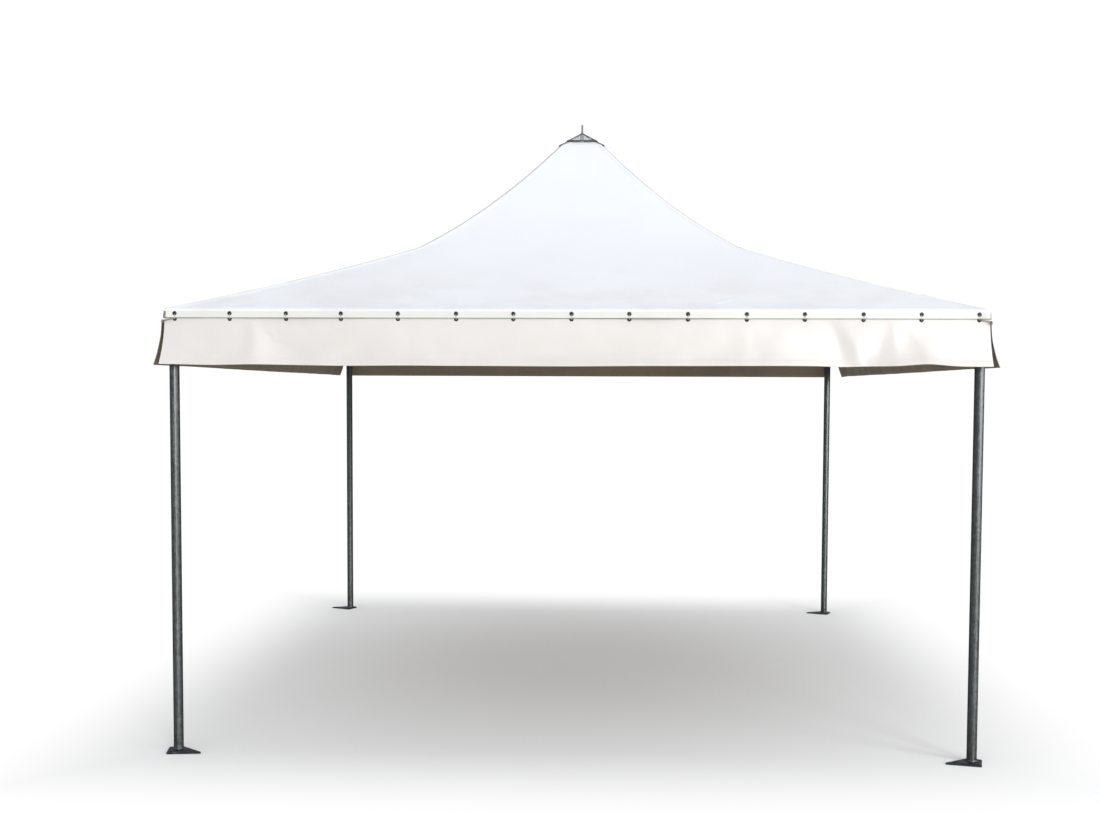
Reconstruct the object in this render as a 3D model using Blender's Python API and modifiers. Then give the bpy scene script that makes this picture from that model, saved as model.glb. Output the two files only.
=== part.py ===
"""A square marquee tent: a white PVC roof with concave hips on a frame of galvanised tube.

The origin is on the ground under the peak, +Z is up, and the front faces -Y. One corner and one
side are modelled, and the other three of each are the same mesh turned by quarter turns.
"""
from math import asin, atan, hypot, pi, radians, sin, sqrt, tan

import bmesh
import bpy
from mathutils import Matrix, Vector

# Driving dimensions, in metres
SPAN = 4.0
LEG_SPACING = 3.925
LEG_RADIUS = 0.024
EAVE_TUBE_RADIUS = 0.021
RAFTER_RADIUS = 0.017
FABRIC = 0.003
TOUCH_GAP = 0.0003

# Roof profile, measured square to the eaves
EAVE_OFFSET = SPAN / 2
EAVE_HEIGHT = 2.197
HEM_BOTTOM = 2.150
LOWER_SLOPE = 0.335
LOWER_SAG = 0.057
KNEE_OFFSET = 0.92
UPPER_SLOPE = 0.695
UPPER_SAG = 0.325
SHOULDER_OFFSET = 0.135
CROWN_SLOPE = 0.62
ROOF_EDGE_OFFSET = 0.080
KNEE_RUN = EAVE_OFFSET - KNEE_OFFSET
KNEE_HEIGHT = EAVE_HEIGHT + LOWER_SLOPE * KNEE_RUN + LOWER_SAG * KNEE_RUN ** 2
SHOULDER_RUN = KNEE_OFFSET - SHOULDER_OFFSET
SHOULDER_HEIGHT = KNEE_HEIGHT + UPPER_SLOPE * SHOULDER_RUN + UPPER_SAG * SHOULDER_RUN ** 2
LOWER_STEPS = 6
UPPER_STEPS = 10
SAME_PLACE = 1e-6
DOUBLE_DISTANCE = 1e-5

# Valance, which hangs behind the hem strip and kicks out towards its bottom edge
VALANCE_TOP = 2.172
VALANCE_BOTTOM = 1.925
FLARE_STEPS = 5
VALANCE_FACE = EAVE_OFFSET - FABRIC - TOUCH_GAP
VALANCE_FLARE = 0.045
VALANCE_LENGTH = 2 * VALANCE_FACE
SIDE_VALANCE_LENGTH = 2 * (VALANCE_FACE - FABRIC - TOUCH_GAP)

# Foot plate, with its longest side to the front and a round heel behind the leg
PLATE_FRONT_CORNER = (-0.027, -0.088)
PLATE_LONG_CORNER = (0.145, -0.060)
PLATE_SIDE_CORNER = (-0.052, 0.010)
PLATE_HEEL_RADIUS = 0.030
PLATE_CORNER_RADIUS = 0.005
PLATE_THICKNESS = 0.008
PEG_HOLE_RADIUS = 0.007
PEG_HOLE_INSET = 0.0175

# Each plate's way, 1 with the long corner to the right and -1 to the left, and its turn in degrees
PLATE_SETTINGS = {
    "front_left": (1, -3.0), "front_right": (-1, 3.0), "back_right": (-1, 12.0), "back_left": (-1, 12.0)}

# Corner joint
LEG_OFFSET = LEG_SPACING / 2
FRAME_HEIGHT = 2.178
LEG_SOCKET_RADIUS = 0.0275
LEG_SOCKET_BOTTOM = 2.050
LEG_SOCKET_TOP = 2.183
LEG_TOP = 2.150
EAVE_SOCKET_RADIUS = 0.0235
EAVE_SOCKET_END = 0.125
EAVE_SOCKET_FLOOR = 0.045
RAFTER_SOCKET_RADIUS = 0.0205
RAFTER_SOCKET_END = 0.150
RAFTER_SOCKET_FLOOR = 0.080
RAFTER_BORE_RADIUS = 0.0176

# Hip rafters, whose centre line runs at a depth below the outer face of the roof
FABRIC_CLEARANCE = 0.0025
RAFTER_DEPTH = FABRIC + RAFTER_SOCKET_RADIUS + FABRIC_CLEARANCE
RAFTER_START_OFFSET = 1.84
KNEE_SLEEVE_REACH = 0.075
KNEE_SLEEVE_FLOOR = 0.012
KNEE_LEAD = 0.085
RAFTER_STEPS = 5
SOCKET_OUTER_OFFSET = 0.32
SOCKET_INNER_OFFSET = 0.19
SOCKET_ROOT_OFFSET = 0.115
SOCKET_INSET = 0.05

# Crown plate, cap and pin
CROWN_PLATE_WIDTH = 0.25
CROWN_PLATE_TOP = 3.369
CROWN_PLATE_THICKNESS = 0.012
CROWN_BOSS_RADIUS = 0.030
CROWN_BOSS_BOTTOM = 3.267
CAP_HALF_WIDTH = 0.092
CAP_RIM_HEIGHT = 0.007
CAP_SHELL = 0.003
CAP_NECK_HALF_WIDTH = 0.016
CAP_NECK_HEIGHT = 3.462
CAP_TOP = 3.470
PIN_RADIUS = 0.006
PIN_CLEARANCE = 0.0006
PIN_TOP = 3.530
CAP_ARM_WIDTH = 0.014
CAP_ARM_THICKNESS = 0.004
CAP_ARM_LIFT = 0.0024
CAP_ARM_END = 0.158

# Facets
TUBE_SIDES = 24
CURVE_BEVEL_RESOLUTION = 4
CORNER_ARC_STEPS = 6

CORNERS = ("front_left", "front_right", "back_right", "back_left")
SIDES = ("front", "right", "back", "left")


# Roof profile


def roof_height(offset):
    """Height of the roof's outer face at a distance from the axis, square to the eaves."""
    if offset >= KNEE_OFFSET:
        run = EAVE_OFFSET - offset
        return EAVE_HEIGHT + LOWER_SLOPE * run + LOWER_SAG * run ** 2
    if offset >= SHOULDER_OFFSET:
        run = KNEE_OFFSET - offset
        return KNEE_HEIGHT + UPPER_SLOPE * run + UPPER_SAG * run ** 2
    return SHOULDER_HEIGHT + CROWN_SLOPE * (SHOULDER_OFFSET - offset)


def roof_slope(offset):
    """Rise per metre towards the axis; at the knee and the shoulder, the mean of both sides."""
    lower = LOWER_SLOPE + 2 * LOWER_SAG * (EAVE_OFFSET - max(offset, KNEE_OFFSET))
    upper = UPPER_SLOPE + 2 * UPPER_SAG * (KNEE_OFFSET - min(offset, KNEE_OFFSET))
    if abs(offset - KNEE_OFFSET) < SAME_PLACE:
        return tan((atan(lower) + atan(upper)) / 2)
    if abs(offset - SHOULDER_OFFSET) < SAME_PLACE:
        return tan((atan(upper) + atan(CROWN_SLOPE)) / 2)
    if offset < SHOULDER_OFFSET:
        return CROWN_SLOPE
    return lower if offset > KNEE_OFFSET else upper


def below_roof(offset, depth):
    """The point at a depth square to the roof's outer face, as its offset and height."""
    slope = roof_slope(offset)
    length = hypot(1, slope)
    return offset - depth * slope / length, roof_height(offset) - depth / length


def spread(first, last, steps):
    """Evenly spaced values from first to last, both included."""
    return [first + (last - first) * index / steps for index in range(steps + 1)]


def leg_axis_point(height):
    """A point on the front left leg's axis."""
    return Vector((-LEG_OFFSET, -LEG_OFFSET, height))


def hip_point(offset):
    """A point of the front left rafter's centre line, under the hip."""
    place, height = below_roof(offset, RAFTER_DEPTH)
    return Vector((-place, -place, height))


# Meshes


def finished_mesh(name, shape):
    """Turn a bmesh into a mesh with its faces pointing out."""
    bmesh.ops.recalc_face_normals(shape, faces=shape.faces)
    mesh = bpy.data.meshes.new(name)
    shape.to_mesh(mesh)
    shape.free()
    return mesh


def mesh_from_faces(name, points, faces):
    """A closed mesh from its points and faces."""
    mesh = bpy.data.meshes.new(name)
    mesh.from_pydata(points, [], faces)
    shape = bmesh.new()
    shape.from_mesh(mesh)
    bpy.data.meshes.remove(mesh)
    return finished_mesh(name, shape)


def mesh_from_curve(name, curve):
    """The mesh of a curve, with its end caps welded on."""
    holder = bpy.data.objects.new(name, curve)
    bpy.context.scene.collection.objects.link(holder)
    bpy.context.view_layer.update()
    evaluated = holder.evaluated_get(bpy.context.evaluated_depsgraph_get())
    mesh = bpy.data.meshes.new_from_object(evaluated)
    bpy.data.objects.remove(holder)
    shape = bmesh.new()
    shape.from_mesh(mesh)
    bmesh.ops.remove_doubles(shape, verts=shape.verts, dist=DOUBLE_DISTANCE)
    bpy.data.meshes.remove(mesh)
    return finished_mesh(name, shape)


def bent_tube(name, points, radius):
    """A round bar along a polyline, with filled caps."""
    curve = bpy.data.curves.new(name, "CURVE")
    curve.dimensions = "3D"
    curve.bevel_depth = radius
    curve.bevel_resolution = CURVE_BEVEL_RESOLUTION
    curve.use_fill_caps = True
    spline = curve.splines.new("POLY")
    spline.points.add(len(points) - 1)
    for point, place in zip(spline.points, points):
        point.co = (*place, 1)
    return mesh_from_curve(name, curve)


def prism(name, outline, length):
    """A flat outline in the XY plane, thickened evenly both ways along Z."""
    curve = bpy.data.curves.new(name, "CURVE")
    curve.dimensions = "2D"
    curve.fill_mode = "BOTH"
    curve.extrude = length / 2
    spline = curve.splines.new("POLY")
    spline.points.add(len(outline) - 1)
    for point, (x, y) in zip(spline.points, outline):
        point.co = (x, y, 0, 1)
    spline.use_cyclic_u = True
    return mesh_from_curve(name, curve)


def turned(name, profile, sides):
    """A closed profile of radii and heights, carried round the peak's axis in flat sides."""
    outline = bpy.data.meshes.new(f"{name}_profile")
    points = [(radius, 0, height) for radius, height in profile]
    edges = [(index, (index + 1) % len(points)) for index in range(len(points))]
    outline.from_pydata(points, edges, [])
    holder = bpy.data.objects.new(name, outline)
    bpy.context.scene.collection.objects.link(holder)
    screw = holder.modifiers.new("sides", "SCREW")
    screw.steps = screw.render_steps = sides
    screw.use_merge_vertices = True
    screw.merge_threshold = DOUBLE_DISTANCE
    bpy.context.view_layer.update()
    evaluated = holder.evaluated_get(bpy.context.evaluated_depsgraph_get())
    mesh = bpy.data.meshes.new_from_object(evaluated)
    bpy.data.objects.remove(holder)
    shape = bmesh.new()
    shape.from_mesh(mesh)
    bpy.data.meshes.remove(mesh)
    return finished_mesh(name, shape)


def add_cylinder(shape, radius, start, end, sides=TUBE_SIDES):
    """Add a capped cylinder from one point to another to a bmesh."""
    start, end = Vector(start), Vector(end)
    axis = end - start
    turn = axis.to_track_quat("Z", "Y").to_matrix().to_4x4()
    matrix = Matrix.Translation((start + end) / 2) @ turn
    bmesh.ops.create_cone(
        shape, cap_ends=True, segments=sides, radius1=radius, radius2=radius,
        depth=axis.length, matrix=matrix)


def cylinder(name, radius, start, end, sides=TUBE_SIDES):
    """A capped cylinder from one point to another."""
    shape = bmesh.new()
    add_cylinder(shape, radius, start, end, sides)
    return finished_mesh(name, shape)


def cylinders(name, runs):
    """Several cylinders that don't touch, as one mesh; each run is radius, start and end."""
    shape = bmesh.new()
    for radius, start, end in runs:
        add_cylinder(shape, radius, start, end)
    return finished_mesh(name, shape)


def box(name, size, centre):
    """A box of a size about a centre."""
    shape = bmesh.new()
    matrix = Matrix.Translation(centre) @ Matrix.Diagonal((*size, 1))
    bmesh.ops.create_cube(shape, size=1, matrix=matrix)
    return finished_mesh(name, shape)


def rounded(outline, radii):
    """Replace each corner of an outline by an arc of its radius that runs between its two sides."""
    points = []
    count = len(outline)
    for index, radius in enumerate(radii):
        corner = Vector(outline[index])
        to_last = (Vector(outline[index - 1]) - corner).normalized()
        to_next = (Vector(outline[(index + 1) % count]) - corner).normalized()
        half = to_last.angle(to_next) / 2
        centre = corner + (to_last + to_next).normalized() * radius / sin(half)
        first = corner + to_last * radius / tan(half) - centre
        last = corner + to_next * radius / tan(half) - centre
        for step in range(CORNER_ARC_STEPS + 1):
            spoke = first.lerp(last, step / CORNER_ARC_STEPS).normalized() * radius
            points.append(tuple(centre + spoke))
    return points


# Objects


def make_collection(name):
    """A new collection in the scene."""
    collection = bpy.data.collections.new(name)
    bpy.context.scene.collection.children.link(collection)
    return collection


def make_material(name, colour, roughness, metallic):
    """A plain Principled material."""
    material = bpy.data.materials.new(name)
    material.use_nodes = True
    shader = material.node_tree.nodes["Principled BSDF"]
    shader.inputs["Base Color"].default_value = (*colour, 1)
    shader.inputs["Roughness"].default_value = roughness
    shader.inputs["Metallic"].default_value = metallic
    return material


def add_part(name, mesh, material, quarter=0, location=(0, 0, 0)):
    """Put a mesh in the tent's collection, turned by quarter turns about the peak's axis."""
    part = bpy.data.objects.new(name, mesh)
    part.location = location
    part.rotation_euler = (0, 0, quarter * pi / 2)
    if not mesh.materials:
        mesh.materials.append(material)
    mesh.shade_smooth()
    mesh.set_sharp_from_angle(angle=radians(30))
    TENT.objects.link(part)
    return part


def combined(name, body, tools):
    """Join a mesh with others or cut it, in turn; each tool is a mesh and its operation."""
    part = bpy.data.objects.new(f"{name}_body", body)
    CUTTERS.objects.link(part)
    for mesh, operation in tools:
        tool = bpy.data.objects.new(f"{name}_{mesh.name}", mesh)
        tool.display_type = "WIRE"
        tool.hide_render = True
        CUTTERS.objects.link(tool)
        modifier = part.modifiers.new(mesh.name, "BOOLEAN")
        modifier.operation = operation
        modifier.solver = "EXACT"
        modifier.object = tool
    part.display_type = "WIRE"
    part.hide_render = True
    bpy.context.view_layer.update()
    evaluated = part.evaluated_get(bpy.context.evaluated_depsgraph_get())
    mesh = bpy.data.meshes.new_from_object(evaluated)
    shape = bmesh.new()
    shape.from_mesh(mesh)
    bmesh.ops.remove_doubles(shape, verts=shape.verts, dist=DOUBLE_DISTANCE)
    bpy.data.meshes.remove(mesh)
    return finished_mesh(name, shape)


# Legs and feet


def past_heel(corner, turn):
    """Direction of a plate's side from a corner past the round heel; turn is 1 or -1."""
    angle = asin(PLATE_HEEL_RADIUS / corner.length)
    return Matrix.Rotation(turn * angle, 2) @ -corner.normalized()


def inside_corner(one, two, inset):
    """From a corner to the spot at an inset from the two sides that leave it in two directions."""
    return (one + two).normalized() * inset / sin(one.angle(two) / 2)


def plate_corners():
    """A foot plate's corners about its leg: front, long, behind the heel, and side."""
    front, long, side = Vector(PLATE_FRONT_CORNER), Vector(PLATE_LONG_CORNER), Vector(PLATE_SIDE_CORNER)
    heel = -inside_corner(-past_heel(side, 1), -past_heel(long, -1), PLATE_HEEL_RADIUS)
    return [front, long, heel, side]


def foot_plate(name, way, turn):
    """A four-cornered plate with a peg hole near each end of its front side."""
    corners = []
    for corner in plate_corners():
        x, y = Matrix.Rotation(radians(turn), 2) @ corner
        corners.append(Vector((way * x, y)))
    radii = (PLATE_CORNER_RADIUS, PLATE_CORNER_RADIUS, PLATE_HEEL_RADIUS, PLATE_CORNER_RADIUS)
    plate = prism(f"{name}_outline", rounded(corners, radii), PLATE_THICKNESS)
    plate.transform(Matrix.Translation((0, 0, PLATE_THICKNESS / 2)))
    front, long, heel, side = corners
    along = (long - front).normalized()
    spots = [
        front + inside_corner(along, (side - front).normalized(), PEG_HOLE_INSET),
        long + inside_corner(-along, (heel - long).normalized(), PEG_HOLE_INSET),
    ]
    depth = Vector((0, 0, PLATE_THICKNESS))
    holes = [(PEG_HOLE_RADIUS, spot.to_3d() - depth, spot.to_3d() + 2 * depth) for spot in spots]
    return combined(name, plate, [(cylinders("peg_holes", holes), "DIFFERENCE")])


def build_feet():
    """Plates under the legs, each with its longest side to the front."""
    for quarter, corner in enumerate(CORNERS):
        name = f"foot_plate_{corner}"
        spot = Matrix.Rotation(quarter * pi / 2, 3, "Z") @ leg_axis_point(0)
        mesh = foot_plate(name, *PLATE_SETTINGS[corner])
        add_part(name, mesh, STEEL_DARK, location=spot)


def build_legs():
    """Round posts from the foot plates up into the corner joints."""
    foot = leg_axis_point(PLATE_THICKNESS + TOUCH_GAP)
    mesh = cylinder("leg", LEG_RADIUS, foot, leg_axis_point(LEG_TOP))
    for quarter, corner in enumerate(CORNERS):
        add_part(f"leg_{corner}", mesh, STEEL, quarter)


# Frame at the eaves


def rafter_socket_axis():
    """Foot and direction of the front left rafter's first straight length."""
    foot = leg_axis_point(FRAME_HEIGHT)
    return foot, (hip_point(RAFTER_START_OFFSET) - foot).normalized()


def build_corner_joints():
    """Welded sockets for the leg, two eave tubes and the hip rafter."""
    centre = leg_axis_point(FRAME_HEIGHT)
    foot, direction = rafter_socket_axis()
    post = cylinder(
        "post", LEG_SOCKET_RADIUS, leg_axis_point(LEG_SOCKET_BOTTOM), leg_axis_point(LEG_SOCKET_TOP))
    tools = []
    bores = [(
        LEG_RADIUS + TOUCH_GAP,
        leg_axis_point(LEG_SOCKET_BOTTOM - LEG_RADIUS),
        leg_axis_point(LEG_TOP + TOUCH_GAP))]
    for label, axis in (("x", Vector((1, 0, 0))), ("y", Vector((0, 1, 0)))):
        arm = cylinder(
            f"arm_{label}", EAVE_SOCKET_RADIUS, centre, centre + axis * EAVE_SOCKET_END)
        tools.append((arm, "UNION"))
        bores.append((
            EAVE_TUBE_RADIUS + TOUCH_GAP,
            centre + axis * EAVE_SOCKET_FLOOR,
            centre + axis * (EAVE_SOCKET_END + EAVE_TUBE_RADIUS)))
    socket = cylinder(
        "rafter_socket", RAFTER_SOCKET_RADIUS, foot, foot + direction * RAFTER_SOCKET_END)
    tools.append((socket, "UNION"))
    bores.append((
        RAFTER_BORE_RADIUS,
        foot + direction * RAFTER_SOCKET_FLOOR,
        foot + direction * (RAFTER_SOCKET_END + RAFTER_RADIUS)))
    tools.append((cylinders("bores", bores), "DIFFERENCE"))
    mesh = combined("corner_joint", post, tools)
    for quarter, corner in enumerate(CORNERS):
        add_part(f"corner_joint_{corner}", mesh, STEEL, quarter)


def build_eave_tubes():
    """Horizontal tubes between the corner joints, behind the hem strip."""
    reach = LEG_OFFSET - EAVE_SOCKET_FLOOR - TOUCH_GAP
    mesh = cylinder(
        "eave_tube", EAVE_TUBE_RADIUS,
        (-reach, -LEG_OFFSET, FRAME_HEIGHT), (reach, -LEG_OFFSET, FRAME_HEIGHT))
    for quarter, side in enumerate(SIDES):
        add_part(f"eave_tube_{side}", mesh, STEEL, quarter)


# Hip rafters


def build_rafters():
    """Bent tubes under the hips in two lengths, with a bent sleeve at the knee."""
    knee = hip_point(KNEE_OFFSET)
    below_knee = hip_point(KNEE_OFFSET + KNEE_LEAD)
    above_knee = hip_point(KNEE_OFFSET - KNEE_LEAD)
    down = (below_knee - knee).normalized()
    up = (above_knee - knee).normalized()
    foot, direction = rafter_socket_axis()
    lower = [foot + direction * (RAFTER_SOCKET_FLOOR + TOUCH_GAP)]
    lower += [
        hip_point(offset)
        for offset in spread(RAFTER_START_OFFSET, KNEE_OFFSET + KNEE_LEAD, RAFTER_STEPS)]
    lower.append(knee + down * (KNEE_SLEEVE_FLOOR + TOUCH_GAP))
    upper = [knee + up * (KNEE_SLEEVE_FLOOR + TOUCH_GAP)]
    upper += [
        hip_point(offset)
        for offset in spread(KNEE_OFFSET - KNEE_LEAD, SOCKET_OUTER_OFFSET, RAFTER_STEPS)]
    upper.append(crown_socket_floor() - crown_direction() * TOUCH_GAP)
    sleeve = bent_tube(
        "sleeve", [knee + down * KNEE_SLEEVE_REACH, knee, knee + up * KNEE_SLEEVE_REACH],
        RAFTER_SOCKET_RADIUS)
    bores = [
        (RAFTER_BORE_RADIUS, knee + way * KNEE_SLEEVE_FLOOR,
         knee + way * (KNEE_SLEEVE_REACH + RAFTER_RADIUS))
        for way in (down, up)]
    meshes = {
        "hip_rafter_lower": bent_tube("hip_rafter_lower", lower, RAFTER_RADIUS),
        "hip_rafter_upper": bent_tube("hip_rafter_upper", upper, RAFTER_RADIUS),
        "knee_sleeve": combined(
            "knee_sleeve", sleeve, [(cylinders("sleeve_bores", bores), "DIFFERENCE")]),
    }
    for name, mesh in meshes.items():
        for quarter, corner in enumerate(CORNERS):
            add_part(f"{name}_{corner}", mesh, STEEL, quarter)


def crown_direction():
    """Direction of the front left rafter's last straight length, upwards."""
    return (hip_point(SOCKET_INNER_OFFSET) - hip_point(SOCKET_OUTER_OFFSET)).normalized()


def crown_socket_floor():
    """Where the front left rafter ends inside its crown socket."""
    return hip_point(SOCKET_INNER_OFFSET)


# Peak


def build_crown():
    """Square plate with four sockets at its corners and a boss for the pin below it."""
    middle = Vector((0, 0, CROWN_PLATE_TOP - CROWN_PLATE_THICKNESS / 2))
    plate = box("plate", (CROWN_PLATE_WIDTH, CROWN_PLATE_WIDTH, CROWN_PLATE_THICKNESS), middle)
    boss = cylinder("boss", CROWN_BOSS_RADIUS, (0, 0, CROWN_BOSS_BOTTOM), middle)
    tools = [(boss, "UNION")]
    bores = []
    start = hip_point(SOCKET_OUTER_OFFSET) + crown_direction() * SOCKET_INSET
    root = start + crown_direction() * (hip_point(SOCKET_ROOT_OFFSET) - start).length
    for quarter in range(4):
        turn = Matrix.Rotation(quarter * pi / 2, 3, "Z")
        socket = cylinder(f"socket_{quarter}", RAFTER_SOCKET_RADIUS, turn @ start, turn @ root)
        tools.append((socket, "UNION"))
        mouth = start - crown_direction() * RAFTER_RADIUS
        bores.append((RAFTER_BORE_RADIUS, turn @ mouth, turn @ crown_socket_floor()))
    tools.append((cylinders("crown_bores", bores), "DIFFERENCE"))
    trim_centre = Vector((0, 0, CROWN_PLATE_TOP + CROWN_PLATE_WIDTH))
    trim = box("trim", (4 * CROWN_PLATE_WIDTH, 4 * CROWN_PLATE_WIDTH, 2 * CROWN_PLATE_WIDTH),
               trim_centre)
    tools.append((trim, "DIFFERENCE"))
    add_part("crown_plate", combined("crown_plate", plate, tools), STEEL)


def cap_shell():
    """Four sided hood of sheet metal with a turned down rim and a hole for the pin."""
    hole = PIN_RADIUS + PIN_CLEARANCE
    inner_rim = CAP_HALF_WIDTH - CAP_SHELL
    rim_bottom = roof_height(inner_rim) + TOUCH_GAP
    rim_top = rim_bottom + CAP_RIM_HEIGHT
    profile = [
        (hole, CAP_TOP),
        (CAP_NECK_HALF_WIDTH, CAP_TOP),
        (CAP_NECK_HALF_WIDTH, CAP_NECK_HEIGHT),
        (CAP_HALF_WIDTH, rim_top),
        (CAP_HALF_WIDTH, rim_bottom),
        (inner_rim, rim_bottom),
        (inner_rim, rim_top - CAP_SHELL),
        (hole, CAP_NECK_HEIGHT - CAP_SHELL),
    ]
    hood = turned("hood", [(half * sqrt(2), height) for half, height in profile], 4)
    hood.transform(Matrix.Rotation(pi / 4, 4, "Z"))
    return hood


def cap_arm():
    """The angle bar that runs from the cap's front left corner down over the hip."""
    root = CAP_HALF_WIDTH - CAP_SHELL / 2
    points = []
    for offset in (root, SHOULDER_OFFSET, CAP_ARM_END):
        bottom = roof_height(offset) + CAP_ARM_LIFT
        top = bottom + CAP_ARM_THICKNESS * hypot(1, roof_slope(offset))
        for height in (bottom, top):
            points.append((CAP_ARM_WIDTH - offset, -offset, height))
            points.append((-offset, -offset, height))
            points.append((-offset, CAP_ARM_WIDTH - offset, height))
    faces = [(0, 1, 4, 3), (1, 2, 5, 4), (12, 13, 16, 15), (13, 14, 17, 16)]
    for first in (0, 6):
        for one, two in ((0, 1), (1, 2), (3, 4), (4, 5), (0, 3), (2, 5)):
            faces.append((first + one, first + two, first + two + 6, first + one + 6))
    return mesh_from_faces("arm", points, faces)


def build_cap():
    """The hood with its four arms, as one welded piece."""
    tools = []
    for quarter in range(4):
        arm = cap_arm()
        arm.transform(Matrix.Rotation(quarter * pi / 2, 4, "Z"))
        tools.append((arm, "UNION"))
    add_part("peak_cap", combined("peak_cap", cap_shell(), tools), STEEL_DARK)


def build_pin():
    """Upright pin that stands on the crown plate and passes through the cap."""
    mesh = cylinder("finial_pin", PIN_RADIUS, (0, 0, CROWN_PLATE_TOP + TOUCH_GAP), (0, 0, PIN_TOP))
    add_part("finial_pin", mesh, STEEL_DARK)


# Fabric


def to_front(mesh):
    """Stand a prism up at the front: its X runs outwards, its Y up and its Z along the eave."""
    columns = Matrix(((0, 0, -1), (-1, 0, 0), (0, 1, 0))).to_4x4()
    mesh.transform(columns)
    return mesh


def roof_outline():
    """Section of a roof panel with its hem strip, as offsets and heights."""
    offsets = spread(EAVE_OFFSET, KNEE_OFFSET, LOWER_STEPS)
    offsets += spread(KNEE_OFFSET, SHOULDER_OFFSET, UPPER_STEPS)[1:]
    offsets.append(ROOF_EDGE_OFFSET)
    outer = [(EAVE_OFFSET, HEM_BOTTOM)]
    outer += [(offset, roof_height(offset)) for offset in offsets]
    inner_face = EAVE_OFFSET - FABRIC
    inner_eave = roof_height(inner_face) - FABRIC * hypot(1, roof_slope(inner_face))
    inner = [(inner_face, HEM_BOTTOM), (inner_face, inner_eave)]
    inner += [below_roof(offset, FABRIC) for offset in offsets[1:]]
    return outer + inner[::-1]


def build_roof():
    """Four gores, each mitred along the hips."""
    mesh = prism("roof_panel", roof_outline(), SPAN + LEG_RADIUS)
    shape = bmesh.new()
    shape.from_mesh(mesh)
    for way in (1, -1):
        geometry = shape.verts[:] + shape.edges[:] + shape.faces[:]
        bmesh.ops.bisect_plane(
            shape, geom=geometry, plane_co=(TOUCH_GAP, 0, 0), plane_no=(-1, 0, way),
            clear_outer=True)
        rim = [edge for edge in shape.edges if edge.is_boundary]
        bmesh.ops.holes_fill(shape, edges=rim)
    mesh = to_front(finished_mesh("roof_panel", shape))
    for quarter, side in enumerate(SIDES):
        add_part(f"roof_panel_{side}", mesh, ROOF_PVC, quarter)


def valance_outline():
    """Section of a valance: straight behind the hem, then kicking out towards its bottom edge."""
    bend = HEM_BOTTOM - FABRIC
    outer = [(VALANCE_FACE, VALANCE_TOP)]
    inner = [(VALANCE_FACE - FABRIC, VALANCE_TOP)]
    for share in spread(0, 1, FLARE_STEPS):
        height = bend + (VALANCE_BOTTOM - bend) * share
        face = VALANCE_FACE + VALANCE_FLARE * share ** 2
        outer.append((face, height))
        inner.append((face - FABRIC, height))
    return outer + inner[::-1]


def build_valances():
    """Loose strips below the eaves; the side ones end between the front and back ones."""
    for quarter, side in enumerate(SIDES):
        length = VALANCE_LENGTH if side in ("front", "back") else SIDE_VALANCE_LENGTH
        mesh = to_front(prism(f"valance_{side}", valance_outline(), length))
        add_part(f"valance_{side}", mesh, VALANCE_PVC, quarter)


for leftover in list(bpy.data.objects):
    bpy.data.objects.remove(leftover, do_unlink=True)

TENT = make_collection("marquee_tent")
CUTTERS = make_collection("cutters")
STEEL = make_material("galvanised_tube", (0.23, 0.25, 0.26), 0.42, 0.9)
STEEL_DARK = make_material("dark_steel", (0.12, 0.13, 0.14), 0.5, 0.85)
ROOF_PVC = make_material("roof_pvc", (0.84, 0.86, 0.92), 0.45, 0.0)
VALANCE_PVC = make_material("valance_pvc", (0.86, 0.84, 0.80), 0.5, 0.0)

build_feet()
build_legs()
build_corner_joints()
build_eave_tubes()
build_rafters()
build_crown()
build_cap()
build_pin()
build_roof()
build_valances()
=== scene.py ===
"""Dressed model of a square marquee tent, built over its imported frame.

The canopy, valances, lacing, cap and small fittings are modelled here; the tubes, joints and plates of the
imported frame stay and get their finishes.
"""
import logging
import math
import random
from contextlib import contextmanager
from dataclasses import dataclass, field
from enum import Enum
from typing import Callable, Iterator, Sequence

import bmesh
import bpy
from mathutils import Matrix, Vector, noise


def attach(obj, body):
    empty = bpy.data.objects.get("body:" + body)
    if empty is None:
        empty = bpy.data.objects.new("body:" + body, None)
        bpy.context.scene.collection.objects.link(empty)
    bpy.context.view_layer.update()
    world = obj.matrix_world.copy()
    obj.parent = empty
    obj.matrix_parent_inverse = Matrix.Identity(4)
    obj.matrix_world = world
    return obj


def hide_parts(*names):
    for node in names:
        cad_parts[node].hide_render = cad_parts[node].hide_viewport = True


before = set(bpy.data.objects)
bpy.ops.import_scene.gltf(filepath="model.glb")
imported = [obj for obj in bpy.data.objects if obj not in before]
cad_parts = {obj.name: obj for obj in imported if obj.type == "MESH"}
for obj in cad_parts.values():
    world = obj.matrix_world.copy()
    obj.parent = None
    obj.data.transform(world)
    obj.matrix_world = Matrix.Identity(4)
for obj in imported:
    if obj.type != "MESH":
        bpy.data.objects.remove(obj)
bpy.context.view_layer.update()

BODY = "root"
CORNERS = ("front_left", "front_right", "back_right", "back_left")
LOG = logging.getLogger("marquee")

Colour = tuple[float, float, float]
Test = Callable[[Vector, Vector], bool]


class Side(Enum):
    """The four sides, as quarter turns from the front."""

    FRONT = 0
    RIGHT = 1
    BACK = 2
    LEFT = 3

    @property
    def label(self) -> str:
        """The side's name in piece and node names."""
        return self.name.lower()

    @property
    def turn(self) -> Matrix:
        """The turn about the peak that brings the front to this side."""
        return Matrix.Rotation(self.value * math.pi / 2, 4, "Z")


class Slot(Enum):
    """The record's material slots."""

    TUBE = "galvanised_tube"
    DARK = "dark_steel"
    ROOF = "roof_pvc"
    VALANCE = "valance_pvc"


class Pick(Enum):
    """What a selection in edit mode is made of."""

    VERTS = "VERT"
    EDGES = "EDGE"
    FACES = "FACE"


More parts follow.
